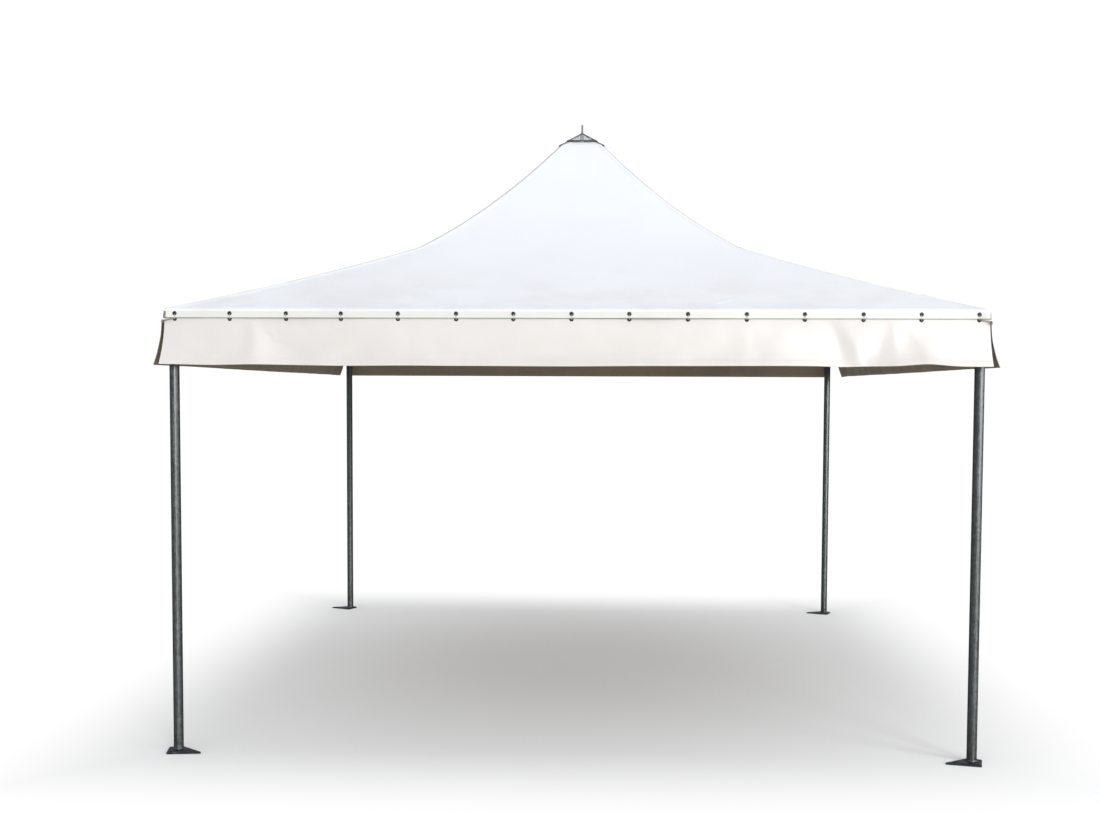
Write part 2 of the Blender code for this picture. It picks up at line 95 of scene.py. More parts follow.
@dataclass(frozen=True)
class TentShape:
    """The tent's own measures in metres, the same as in the part's source."""

    eave_offset: float = 2.0
    eave_height: float = 2.197
    lower_slope: float = 0.335
    lower_sag: float = 0.057
    knee_offset: float = 0.92
    upper_slope: float = 0.695
    upper_sag: float = 0.325
    shoulder_offset: float = 0.135
    crown_slope: float = 0.62
    roof_edge: float = 0.080
    leg_offset: float = 1.9625
    leg_radius: float = 0.024
    frame_height: float = 2.178
    valance_top: float = 2.172
    valance_bottom: float = 1.925
    valance_face: float = 1.9967
    valance_flare: float = 0.045
    plate_top: float = 0.008

    def height(self, offset: float) -> float:
        """Height of the roof's outer face.

        Args:
            offset: distance from the peak's axis, square to the eave.

        Returns:
            The height over the ground.
        """
        if offset >= self.knee_offset:
            run = self.eave_offset - offset
            return self.eave_height + self.lower_slope * run + self.lower_sag * run ** 2
        base = self.height(self.knee_offset)
        run = self.knee_offset - max(offset, self.shoulder_offset)
        shoulder = base + self.upper_slope * run + self.upper_sag * run ** 2
        return shoulder + self.crown_slope * max(self.shoulder_offset - offset, 0.0)

    def bridged(self, offset: float, reach: float) -> float:
        """Height of cloth that is drawn tight over the hollow of the knee.

        Args:
            offset: distance from the peak's axis, square to the eave.
            reach: how far to each side the cloth evens out.

        Returns:
            The mean height over that reach.
        """
        reach = min(reach, 0.8 * (offset - self.shoulder_offset - 0.02), 0.8 * (self.eave_offset - offset))
        if reach < 0.004:
            return self.height(offset)
        shares = [index / 8 for index in range(-8, 9)]
        weights = [1 - abs(share) for share in shares]
        heights = [self.height(offset + reach * share) for share in shares]
        return sum(w * h for w, h in zip(weights, heights)) / sum(weights)

    def slope(self, offset: float) -> float:
        """Rise per metre towards the axis, read over a centimetre."""
        step = 0.005
        return (self.height(offset - step) - self.height(offset + step)) / (2 * step)

    def hip_point(self, offset: float, depth: float) -> Vector:
        """A point under the front left hip.

        Args:
            offset: where the hip is met, as a distance from the axis square to the eave.
            depth: distance from the roof's outer face, square to it.

        Returns:
            The point.
        """
        slope = self.slope(offset)
        length = math.hypot(1, slope)
        place = offset - depth * slope / length
        return Vector((-place, -place, self.height(offset) - depth / length))


TENT = TentShape()
RAFTER_DEPTH = 0.026
EYELET_PLACES = [-1.945, -1.673, -1.395, -1.125, -0.846, -0.562, -0.284, -0.002,
                 0.277, 0.559, 0.841, 1.118, 1.397, 1.672, 1.945]
EYELET_PITCH = 0.279
EYELET_REACH = EYELET_PLACES[-1]
UPPER_EYELET = 2.1735
LOWER_EYELET = 2.1468
HOLE_RADIUS = 0.0070
CANOPY_THICKNESS = 0.0020
VALANCE_THICKNESS = 0.0014


# Modelling by hand


def deselect_all() -> None:
    if bpy.context.mode != "OBJECT":
        bpy.ops.object.mode_set(mode="OBJECT")
    bpy.ops.object.select_all(action="DESELECT")


def take(piece: bpy.types.Object) -> None:
    """Make one object the only selected and the active one."""
    deselect_all()
    piece.select_set(True)
    bpy.context.view_layer.objects.active = piece


def place_in_mesh(name: str) -> bpy.types.Object:
    """Name the primitive that was just added and put its place into its mesh.

    Args:
        name: the name for the object and its mesh.

    Returns:
        The object, at the origin.
    """
    piece = bpy.context.active_object
    piece.name = name
    piece.data.name = name
    take(piece)
    bpy.ops.object.transform_apply(location=True, rotation=True, scale=True)
    return piece


@contextmanager
def editing(piece: bpy.types.Object, kind: Pick = Pick.FACES) -> Iterator[None]:
    """Open a piece in edit mode with nothing selected, and close it again.

    Args:
        piece: the object to edit.
        kind: what is selected inside.
    """
    take(piece)
    bpy.ops.object.mode_set(mode="EDIT")
    bpy.ops.mesh.select_mode(type=kind.value)
    bpy.ops.mesh.select_all(action="DESELECT")
    yield
    bpy.ops.object.mode_set(mode="OBJECT")


def pick(test: Test, kind: Pick = Pick.FACES) -> int:
    """Select what passes a test, in the piece that is open in edit mode.

    Args:
        test: gets a centre and a direction: a face's or point's normal, or an edge's direction.
        kind: faces, edges or points.

    Returns:
        How many are selected.
    """
    piece = bpy.context.edit_object
    shape = bmesh.from_edit_mesh(piece.data)
    for face in shape.faces:
        face.select_set(False)
    for edge in shape.edges:
        edge.select_set(False)
    for vert in shape.verts:
        vert.select_set(False)
    count = 0
    if kind is Pick.FACES:
        for face in shape.faces:
            if test(face.calc_center_median(), face.normal):
                face.select_set(True)
                count += 1
    elif kind is Pick.EDGES:
        for edge in shape.edges:
            first, second = (vert.co for vert in edge.verts)
            if test((first + second) / 2, (second - first).normalized()):
                edge.select_set(True)
                count += 1
    else:
        for vert in shape.verts:
            if test(vert.co, vert.normal):
                vert.select_set(True)
                count += 1
    bmesh.update_edit_mesh(piece.data)
    return count


def apply_modifier(piece: bpy.types.Object, kind: str, **settings: object) -> None:
    """Add a modifier with its settings and apply it.

    Args:
        piece: the object.
        kind: Blender's name of the modifier.
        settings: the modifier's own settings.
    """
    take(piece)
    modifier = piece.modifiers.new(kind.lower(), kind)
    for key, value in settings.items():
        setattr(modifier, key, value)
    bpy.ops.object.modifier_apply(modifier=modifier.name)


def copied(piece: bpy.types.Object, name: str, matrix: Matrix) -> bpy.types.Object:
    """Copy a piece with its own mesh.

    Args:
        piece: the object to copy.
        name: the copy's name.
        matrix: where the copy's mesh goes.

    Returns:
        The copy.
    """
    copy = piece.copy()
    copy.data = piece.data.copy()
    copy.name = copy.data.name = name
    copy.data.transform(matrix)
    bpy.context.scene.collection.objects.link(copy)
    return copy


def joined(pieces: Sequence[bpy.types.Object], name: str) -> bpy.types.Object:
    """Join several pieces into the first.

    Args:
        pieces: the objects.
        name: the name of what comes out.

    Returns:
        The joined object.
    """
    take(pieces[0])
    for piece in pieces[1:]:
        piece.select_set(True)
    bpy.ops.object.join()
    pieces[0].name = pieces[0].data.name = name
    return pieces[0]


def remove(piece: bpy.types.Object) -> None:
    """Take a helper object out of the scene."""
    bpy.data.objects.remove(piece, do_unlink=True)


def turned_copies(piece: bpy.types.Object, stem: str) -> list[bpy.types.Object]:
    """Copies of a front left piece at all four corners; the piece itself becomes the first."""
    pieces = [piece]
    for quarter, corner in enumerate(CORNERS[1:], start=1):
        turn = Matrix.Rotation(quarter * math.pi / 2, 4, "Z")
        pieces.append(copied(piece, f"{stem}_{corner}", turn))
    piece.name = piece.data.name = f"{stem}_{CORNERS[0]}"
    return pieces


def smooth(piece: bpy.types.Object, degrees: float = 35.0) -> None:
    """Shade a piece smooth, with sharp edges over an angle."""
    take(piece)
    bpy.ops.object.shade_smooth_by_angle(angle=math.radians(degrees))


def corded(name: str, points: Sequence[Vector], radius: float, sides: int = 2, steps: int = 4,
           soft: bool = True) -> bpy.types.Object:
    """A round cord or bead along points.

    Args:
        name: the object's name.
        points: the points it follows.
        radius: half its thickness.
        sides: the bevel's resolution.
        steps: rings between two points.
        soft: whether the path is rounded between the points.

    Returns:
        The cord as a mesh object.
    """
    curve = bpy.data.curves.new(name, "CURVE")
    curve.dimensions = "3D"
    curve.bevel_depth = radius
    curve.bevel_resolution = sides
    curve.resolution_u = steps
    curve.use_fill_caps = True
    spline = curve.splines.new("NURBS" if soft else "POLY")
    spline.points.add(len(points) - 1)
    for point, place in zip(spline.points, points):
        point.co = (*place, 1)
    if soft:
        spline.order_u = 3
        spline.use_endpoint_u = True
    cord = bpy.data.objects.new(name, curve)
    bpy.context.scene.collection.objects.link(cord)
    take(cord)
    bpy.ops.object.convert(target="MESH")
    cord = bpy.context.active_object
    cord.name = cord.data.name = name
    return cord


def skinned(name: str, columns: Sequence[Sequence[Vector]], inner_from: int, ring: bool,
            materials: Sequence[bpy.types.Material], slot_at: Callable[[int, int], int] | None = None
            ) -> bpy.types.Object:
    """Skin a row of closed cross-sections of a sheet.

    Args:
        name: the object's name.
        columns: cross-sections with equal numbers of points, first down the outside, then up the inside.
        inner_from: the point at which the inside starts.
        ring: whether the last section joins the first.
        materials: what the outside, the inside and the lower edge are made of, and then any others.
        slot_at: names the material of an outside face by its column and row.

    Returns:
        The sheet.
    """
    count = len(columns[0])
    points = [point for column in columns for point in column]
    faces, slots = [], []
    last = len(columns) if ring else len(columns) - 1
    for index in range(last):
        after = (index + 1) % len(columns)
        for row in range(count):
            down = (row + 1) % count
            faces.append((index * count + row, after * count + row,
                          after * count + down, index * count + down))
            if row < inner_from - 1:
                slots.append(slot_at(index, row) if slot_at else 0)
            else:
                slots.append(2 if row == inner_from - 1 else 1)
    if not ring:
        for start in (0, (len(columns) - 1) * count):
            for row in range(inner_from - 1):
                faces.append((start + row, start + row + 1, start + count - 2 - row, start + count - 1 - row))
                slots.append(2)
    mesh = bpy.data.meshes.new(name)
    mesh.from_pydata(points, [], faces)
    for material in materials:
        mesh.materials.append(material)
    mesh.polygons.foreach_set("material_index", slots)
    sheet = bpy.data.objects.new(name, mesh)
    bpy.context.scene.collection.objects.link(sheet)
    with editing(sheet):
        bpy.ops.mesh.select_all(action="SELECT")
        bpy.ops.mesh.normals_make_consistent(inside=False)
    return sheet


def finish(piece: bpy.types.Object, slot: Slot, materials: Sequence[bpy.types.Material] = (),
           replaces: Sequence[str] = ()) -> bpy.types.Object:
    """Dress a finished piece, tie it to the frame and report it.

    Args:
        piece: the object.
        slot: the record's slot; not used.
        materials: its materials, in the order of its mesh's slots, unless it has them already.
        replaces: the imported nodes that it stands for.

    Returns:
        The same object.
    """
    for material in materials:
        piece.data.materials.append(material)
    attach(piece, BODY)
    if replaces:
        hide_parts(*replaces)
    LOG.info("%s: %d faces", piece.name, len(piece.data.polygons))
    return piece


# Finishes


class Tree:
    """A node tree with short calls to add and join its nodes."""

    def __init__(self, tree: bpy.types.NodeTree) -> None:
        """Hold the tree.

        Args:
            tree: a material's or a group's tree.
        """
        self.tree = tree

    def add(self, kind: str, inputs: dict[str | int, object] | None = None, **settings: object) -> bpy.types.Node:
        """Add a node.

        Args:
            kind: the node's type, without its ShaderNode start.
            inputs: values or outputs of other nodes, by the name or number of the input.
            settings: the node's own settings.

        Returns:
            The node.
        """
        node = self.tree.nodes.new(f"ShaderNode{kind}")
        for key, value in settings.items():
            setattr(node, key, value)
        for key, value in (inputs or {}).items():
            if isinstance(value, bpy.types.NodeSocket):
                self.tree.links.new(value, node.inputs[key])
            else:
                node.inputs[key].default_value = value
        return node

    def math(self, operation: str, first: object, second: object = 0.0, clamp: bool = False) -> bpy.types.NodeSocket:
        """The result of a Math node."""
        return self.add("Math", {0: first, 1: second}, operation=operation, use_clamp=clamp).outputs[0]

    def ramp(self, value: bpy.types.NodeSocket, low: float, high: float, start: float = 0.0,
             end: float = 1.0) -> bpy.types.NodeSocket:
        """A value moved from one range to another, held at its ends.

        Args:
            value: the value.
            low: where the range starts.
            high: where the range ends.
            start: what comes out at low.
            end: what comes out at high.

        Returns:
            The moved value.
        """
        inputs = {"Value": value, "From Min": low, "From Max": high, "To Min": start, "To Max": end}
        return self.add("MapRange", inputs, interpolation_type="SMOOTHSTEP").outputs[0]

    def mix(self, share: object, first: object, second: object) -> bpy.types.NodeSocket:
        """One colour mixed with another by a share."""
        node = self.add("Mix", {0: share, 6: first, 7: second}, data_type="RGBA")
        return node.outputs[2]

    def place(self) -> bpy.types.NodeSocket:
        """The point in the object's own coordinates."""
        return self.add("TexCoord").outputs["Object"]

    def noise(self, place: bpy.types.NodeSocket, scale: float, detail: float = 3.0,
              roughness: float = 0.5) -> bpy.types.NodeSocket:
        """A noise value over a place."""
        inputs = {"Vector": place, "Scale": scale, "Detail": detail, "Roughness": roughness}
        return self.add("TexNoise", inputs).outputs[0]

    def stretched(self, place: bpy.types.NodeSocket, scale: Sequence[float]) -> bpy.types.NodeSocket:
        """A place scaled by axis."""
        return self.add("Mapping", {"Vector": place, "Scale": tuple(scale)}).outputs[0]


def new_group(name: str, inputs: dict[str, float], outputs: Sequence[str]) -> tuple[Tree, bpy.types.Node, bpy.types.Node]:
    """Start a shader node group.

    Args:
        name: the group's name.
        inputs: named values with their defaults.
        outputs: the names of the values it puts out.

    Returns:
        Its tree, its input node and its output node.
    """
    group = bpy.data.node_groups.new(name, "ShaderNodeTree")
    group.interface.new_socket("Place", in_out="INPUT", socket_type="NodeSocketVector")
    for label, value in inputs.items():
        socket = group.interface.new_socket(label, in_out="INPUT", socket_type="NodeSocketFloat")
        socket.default_value = value
    for label in outputs:
        group.interface.new_socket(label, in_out="OUTPUT", socket_type="NodeSocketFloat")
    tree = Tree(group)
    return tree, group.nodes.new("NodeGroupInput"), group.nodes.new("NodeGroupOutput")


def group_node(tree: Tree, group: bpy.types.NodeTree, inputs: dict[str, object]) -> bpy.types.Node:
    """Put a group into a material.

    Args:
        tree: the material's tree.
        group: the group.
        inputs: the group's values there.

    Returns:
        The group's node.
    """
    node = tree.tree.nodes.new("ShaderNodeGroup")
    node.node_tree = group
    for key, value in inputs.items():
        if isinstance(value, bpy.types.NodeSocket):
            tree.tree.links.new(value, node.inputs[key])
        else:
            node.inputs[key].default_value = value
    return node


class Effects:
    """The shader node groups that several finishes share, each built once."""

    def __init__(self) -> None:
        """Build the groups."""
        self.weave = self.build_weave()
        self.grime = self.build_grime()
        self.spangle = self.build_spangle()
        self.wear = self.build_wear()

    @staticmethod
    def build_weave() -> bpy.types.NodeTree:
        """Threads that press through a coating, on faces along any two axes.

        Returns:
            The group, which puts out a height.
        """
        tree, source, result = new_group("thread_press", {"Threads": 900.0}, ["Height"])
        parts = tree.add("SeparateXYZ", {0: source.outputs["Place"]})
        waves = []
        for axis in range(3):
            turned = tree.math("MULTIPLY", parts.outputs[axis], source.outputs["Threads"])
            waves.append(tree.math("SINE", turned))
        total = tree.math("ADD", tree.math("ADD", waves[0], waves[1]), waves[2])
        height = tree.ramp(total, -2.0, 2.0)
        tree.tree.links.new(height, result.inputs["Height"])
        return tree.tree

    @staticmethod
    def build_grime() -> bpy.types.NodeTree:
        """Soft darkening that gathers towards a height: dirt on most pieces, and painted shade on the roof's lower
        slope.

        Returns:
            The group, which puts out a mask.
        """
        tree, source, result = new_group(
            "settled_grime", {"Amount": 0.5, "Clean": 1.0, "Dirty": 0.0, "Size": 4.0}, ["Mask"])
        height = tree.add("SeparateXYZ", {0: source.outputs["Place"]}).outputs[2]
        fade = tree.add("MapRange", {
            "Value": height, "From Min": source.outputs["Clean"], "From Max": source.outputs["Dirty"]},
            interpolation_type="SMOOTHSTEP").outputs[0]
        broad = tree.add("TexNoise", {
            "Vector": source.outputs["Place"], "Scale": source.outputs["Size"], "Detail": 6.0,
            "Roughness": 0.6}).outputs[0]
        spots = tree.ramp(broad, 0.38, 0.68)
        mask = tree.math("MULTIPLY", tree.math("MULTIPLY", fade, spots), source.outputs["Amount"], clamp=True)
        tree.tree.links.new(mask, result.inputs["Mask"])
        return tree.tree

    @staticmethod
    def build_spangle() -> bpy.types.NodeTree:
        """The crystal flakes of hot zinc, with fine scratches along the tube.

        Returns:
            The group, which puts out a flake tone and a scratch height.
        """
        tree, source, result = new_group("zinc_spangle", {"Size": 90.0}, ["Tone", "Scratch"])
        flakes = tree.add("TexVoronoi", {
            "Vector": source.outputs["Place"], "Scale": source.outputs["Size"], "Randomness": 1.0})
        grey = tree.add("SeparateColor", {0: flakes.outputs["Color"]}).outputs[0]
        cloud = tree.add("TexNoise", {
            "Vector": source.outputs["Place"], "Scale": 7.0, "Detail": 4.0, "Roughness": 0.6}).outputs[0]
        tone = tree.math("ADD", tree.math("MULTIPLY", grey, 0.55), tree.math("MULTIPLY", cloud, 0.45))
        lines = tree.stretched(source.outputs["Place"], (260.0, 260.0, 9.0))
        scratch = tree.add("TexNoise", {"Vector": lines, "Scale": 1.0, "Detail": 2.0}).outputs[0]
        tree.tree.links.new(tone, result.inputs["Tone"])
        tree.tree.links.new(scratch, result.inputs["Scratch"])
        return tree.tree

    @staticmethod
    def build_wear() -> bpy.types.NodeTree:
        """Patches where a coat has rubbed thin.

        Returns:
            The group, which puts out a mask.
        """
        tree, source, result = new_group("rubbed_patches", {"Size": 30.0, "Share": 0.5}, ["Mask"])
        coarse = tree.add("TexNoise", {
            "Vector": source.outputs["Place"], "Scale": source.outputs["Size"], "Detail": 8.0,
            "Roughness": 0.68}).outputs[0]
        high = tree.math("ADD", source.outputs["Share"], 0.12)
        mask = tree.add("MapRange", {
            "Value": coarse, "From Min": source.outputs["Share"], "From Max": high},
            interpolation_type="SMOOTHSTEP").outputs[0]
        tree.tree.links.new(mask, result.inputs["Mask"])
        return tree.tree


def new_material(name: str, settings: dict[str, object]) -> tuple[bpy.types.Material, Tree, bpy.types.Node]:
    """Start a material.

    Args:
        name: the material's name.
        settings: values on the shader's own sockets.

    Returns:
        The material, its tree and its Principled node.
    """
    material = bpy.data.materials.new(name)
    material.use_nodes = True
    shader = material.node_tree.nodes["Principled BSDF"]
    for key, value in settings.items():
        shader.inputs[key].default_value = value
    return material, Tree(material.node_tree), shader


@dataclass(frozen=True)
class CoatedCloth:
    """Coated polyester fabric: a satin skin over a pressed through weave, with soft handling marks."""

    name: str
    colour: Colour
    shade: Colour
    grime: Colour
    grime_amount: float
    clean_height: float
    dirty_height: float
    roughness: float = 0.42
    threads: float = 1500.0
    crease: float = 0.5

    def build(self, effects: Effects) -> bpy.types.Material:
        """Make the material.

        Args:
            effects: the shared groups.

        Returns:
            The material.
        """
        material, tree, shader = new_material(self.name, {"Specular IOR Level": 0.42, "Coat Roughness": 0.3})
        place = tree.place()
        broad = tree.noise(place, 1.3, 3.0, 0.55)
        cloth = tree.mix(tree.ramp(broad, 0.32, 0.7), (*self.colour, 1), (*self.shade, 1))
        # Darkening by height: dirt on most cloths, painted shade on the roof towards the eave.
        grime = group_node(tree, effects.grime, {
            "Place": place, "Amount": self.grime_amount, "Clean": self.clean_height,
            "Dirty": self.dirty_height, "Size": 3.1})
        soiled = tree.mix(grime.outputs["Mask"], cloth, (*self.grime, 1))
        tree.tree.links.new(soiled, shader.inputs["Base Color"])
        patches = tree.noise(place, 5.5, 5.0, 0.6)
        rough = tree.ramp(patches, 0.3, 0.7, self.roughness - 0.06, self.roughness + 0.09)
        tree.tree.links.new(rough, shader.inputs["Roughness"])
        weave = group_node(tree, effects.weave, {"Place": place, "Threads": self.threads})
        soft = tree.noise(place, 3.2, 2.0, 0.45)
        fine = tree.noise(place, 22.0, 3.0, 0.5)
        folds = tree.math("ADD", tree.math("MULTIPLY", soft, 0.030), tree.math("MULTIPLY", fine, 0.0016))
        first = tree.add("Bump", {"Height": folds, "Strength": self.crease, "Distance": 1.0})
        second = tree.add("Bump", {
            "Height": weave.outputs["Height"], "Strength": 0.12, "Distance": 0.0004,
            "Normal": first.outputs[0]})
        tree.tree.links.new(second.outputs[0], shader.inputs["Normal"])
        return material


@dataclass(frozen=True)
class Zinc:
    """Hot dipped galvanised steel that has weathered to a satin grey."""

    name: str
    colour: Colour
    light: Colour
    metallic: float = 0.92
    roughness: float = 0.36
    flakes: float = 95.0
    soil: Colour = (0.06, 0.055, 0.045)
    soil_height: float = 0.25
    bump: float = 0.25
    # Specular tint that dims the metal's reflection at grazing angles: painted shade along the edges of tubes and
    # eyelets.
    rim: Colour = (1.0, 1.0, 1.0)

    def build(self, effects: Effects) -> bpy.types.Material:
        """Make the material.

        Args:
            effects: the shared groups.

        Returns:
            The material.
        """
        material, tree, shader = new_material(self.name, {
            "Metallic": self.metallic, "Specular IOR Level": 0.5, "Specular Tint": (*self.rim, 1.0)})
        place = tree.place()
        zinc = group_node(tree, effects.spangle, {"Place": place, "Size": self.flakes})
        tone = tree.ramp(zinc.outputs["Tone"], 0.25, 0.78)
        metal = tree.mix(tone, (*self.colour, 1), (*self.light, 1))
        rub = group_node(tree, effects.wear, {"Place": place, "Size": 16.0, "Share": 0.60})
        dull = tree.mix(tree.math("MULTIPLY", rub.outputs["Mask"], 0.35), metal, (0.30, 0.31, 0.32, 1))
        grime = group_node(tree, effects.grime, {
            "Place": place, "Amount": 0.7, "Clean": self.soil_height, "Dirty": 0.0, "Size": 14.0})
        coat = tree.mix(grime.outputs["Mask"], dull, (*self.soil, 1))
        tree.tree.links.new(coat, shader.inputs["Base Color"])
        rough = tree.math("ADD", tree.ramp(tone, 0.0, 1.0, self.roughness, self.roughness + 0.14),
                          tree.math("MULTIPLY", rub.outputs["Mask"], 0.12))
        tree.tree.links.new(rough, shader.inputs["Roughness"])
        bump = tree.add("Bump", {
            "Height": zinc.outputs["Scratch"], "Strength": self.bump, "Distance": 0.0006})
        tree.tree.links.new(bump.outputs[0], shader.inputs["Normal"])
        return material


@dataclass(frozen=True)
class DarkPlate:
    """Dull dark plate steel, blue grey from the mill, rubbed lighter in patches."""

    name: str
    colour: Colour
    rubbed: Colour
    rust: Colour = (0.10, 0.055, 0.03)
    roughness: float = 0.5
    metallic: float = 0.75
    share: float = 0.52

    def build(self, effects: Effects) -> bpy.types.Material:
        """Make the material.

        Args:
            effects: the shared groups.

        Returns:
            The material.
        """
        material, tree, shader = new_material(
            self.name, {"Metallic": self.metallic, "Specular IOR Level": 0.45})
        place = tree.place()
        patches = group_node(tree, effects.wear, {"Place": place, "Size": 34.0, "Share": self.share})
        steel = tree.mix(patches.outputs["Mask"], (*self.colour, 1), (*self.rubbed, 1))
        specks = group_node(tree, effects.wear, {"Place": place, "Size": 75.0, "Share": 0.63})
        spotted = tree.mix(tree.math("MULTIPLY", specks.outputs["Mask"], 0.55), steel, (*self.rust, 1))
        tree.tree.links.new(spotted, shader.inputs["Base Color"])
        rough = tree.ramp(patches.outputs["Mask"], 0.0, 1.0, self.roughness + 0.08, self.roughness - 0.10)
        tree.tree.links.new(rough, shader.inputs["Roughness"])
        grain = tree.noise(place, 420.0, 3.0, 0.6)
        bump = tree.add("Bump", {"Height": grain, "Strength": 0.35, "Distance": 0.0005})
        tree.tree.links.new(bump.outputs[0], shader.inputs["Normal"])
        return material


@dataclass(frozen=True)
class TwistedCord:
    """Braided polyester cord, off white with a little grey in its valleys."""

    name: str
    colour: Colour
    valley: Colour

    def build(self, effects: Effects) -> bpy.types.Material:
        """Make the material.

        Args:
            effects: the shared groups.

        Returns:
            The material.
        """
        material, tree, shader = new_material(
            self.name, {"Roughness": 0.78, "Sheen Weight": 0.25, "Sheen Roughness": 0.5})
        place = tree.place()
        braid = group_node(tree, effects.weave, {"Place": place, "Threads": 3400.0})
        dirt = tree.noise(place, 40.0, 3.0, 0.6)
        share = tree.math("MULTIPLY", tree.ramp(dirt, 0.35, 0.7), 0.6)
        first = tree.mix(braid.outputs["Height"], (*self.valley, 1), (*self.colour, 1))
        second = tree.mix(share, first, (*self.valley, 1))
        tree.tree.links.new(second, shader.inputs["Base Color"])
        bump = tree.add("Bump", {"Height": braid.outputs["Height"], "Strength": 0.6, "Distance": 0.0008})
        tree.tree.links.new(bump.outputs[0], shader.inputs["Normal"])
        return material


@dataclass(frozen=True)
class PaleFloor:
    """Plain pale floor that fades into the light behind it, and stays dim where metal mirrors it."""

    name: str = "studio_floor"
    colour: Colour = (0.93, 0.93, 0.93)
    mirrored: Colour = (0.30, 0.30, 0.30)
    fade_start: float = 1.8
    fade_end: float = 3.0

    def build(self) -> bpy.types.Material:
        """Make the material.

        Returns:
            The material.
        """
        material, tree, shader = new_material(self.name, {
            "Roughness": 0.85, "Specular IOR Level": 0.2})
        mirrored = tree.add("LightPath").outputs["Is Glossy Ray"]
        tone = tree.mix(mirrored, (*self.colour, 1), (*self.mirrored, 1))
        tree.tree.links.new(tone, shader.inputs["Base Color"])
        place = tree.place()
        parts = tree.add("SeparateXYZ", {0: place})
        reach = tree.math("MAXIMUM", *(tree.math("ABSOLUTE", parts.outputs[axis]) for axis in range(2)))
        fade = tree.ramp(reach, self.fade_start, self.fade_end)
        share = tree.math("MULTIPLY", fade, tree.math("SUBTRACT", 1.0, mirrored))
        glow = tree.add("Emission", {"Color": (1.0, 1.0, 1.0, 1.0), "Strength": 1.02})
        mixed = tree.add("MixShader", {0: share, 1: shader.outputs[0], 2: glow.outputs[0]})
        output = material.node_tree.nodes["Material Output"]
        tree.tree.links.new(mixed.outputs[0], output.inputs["Surface"])
        return material


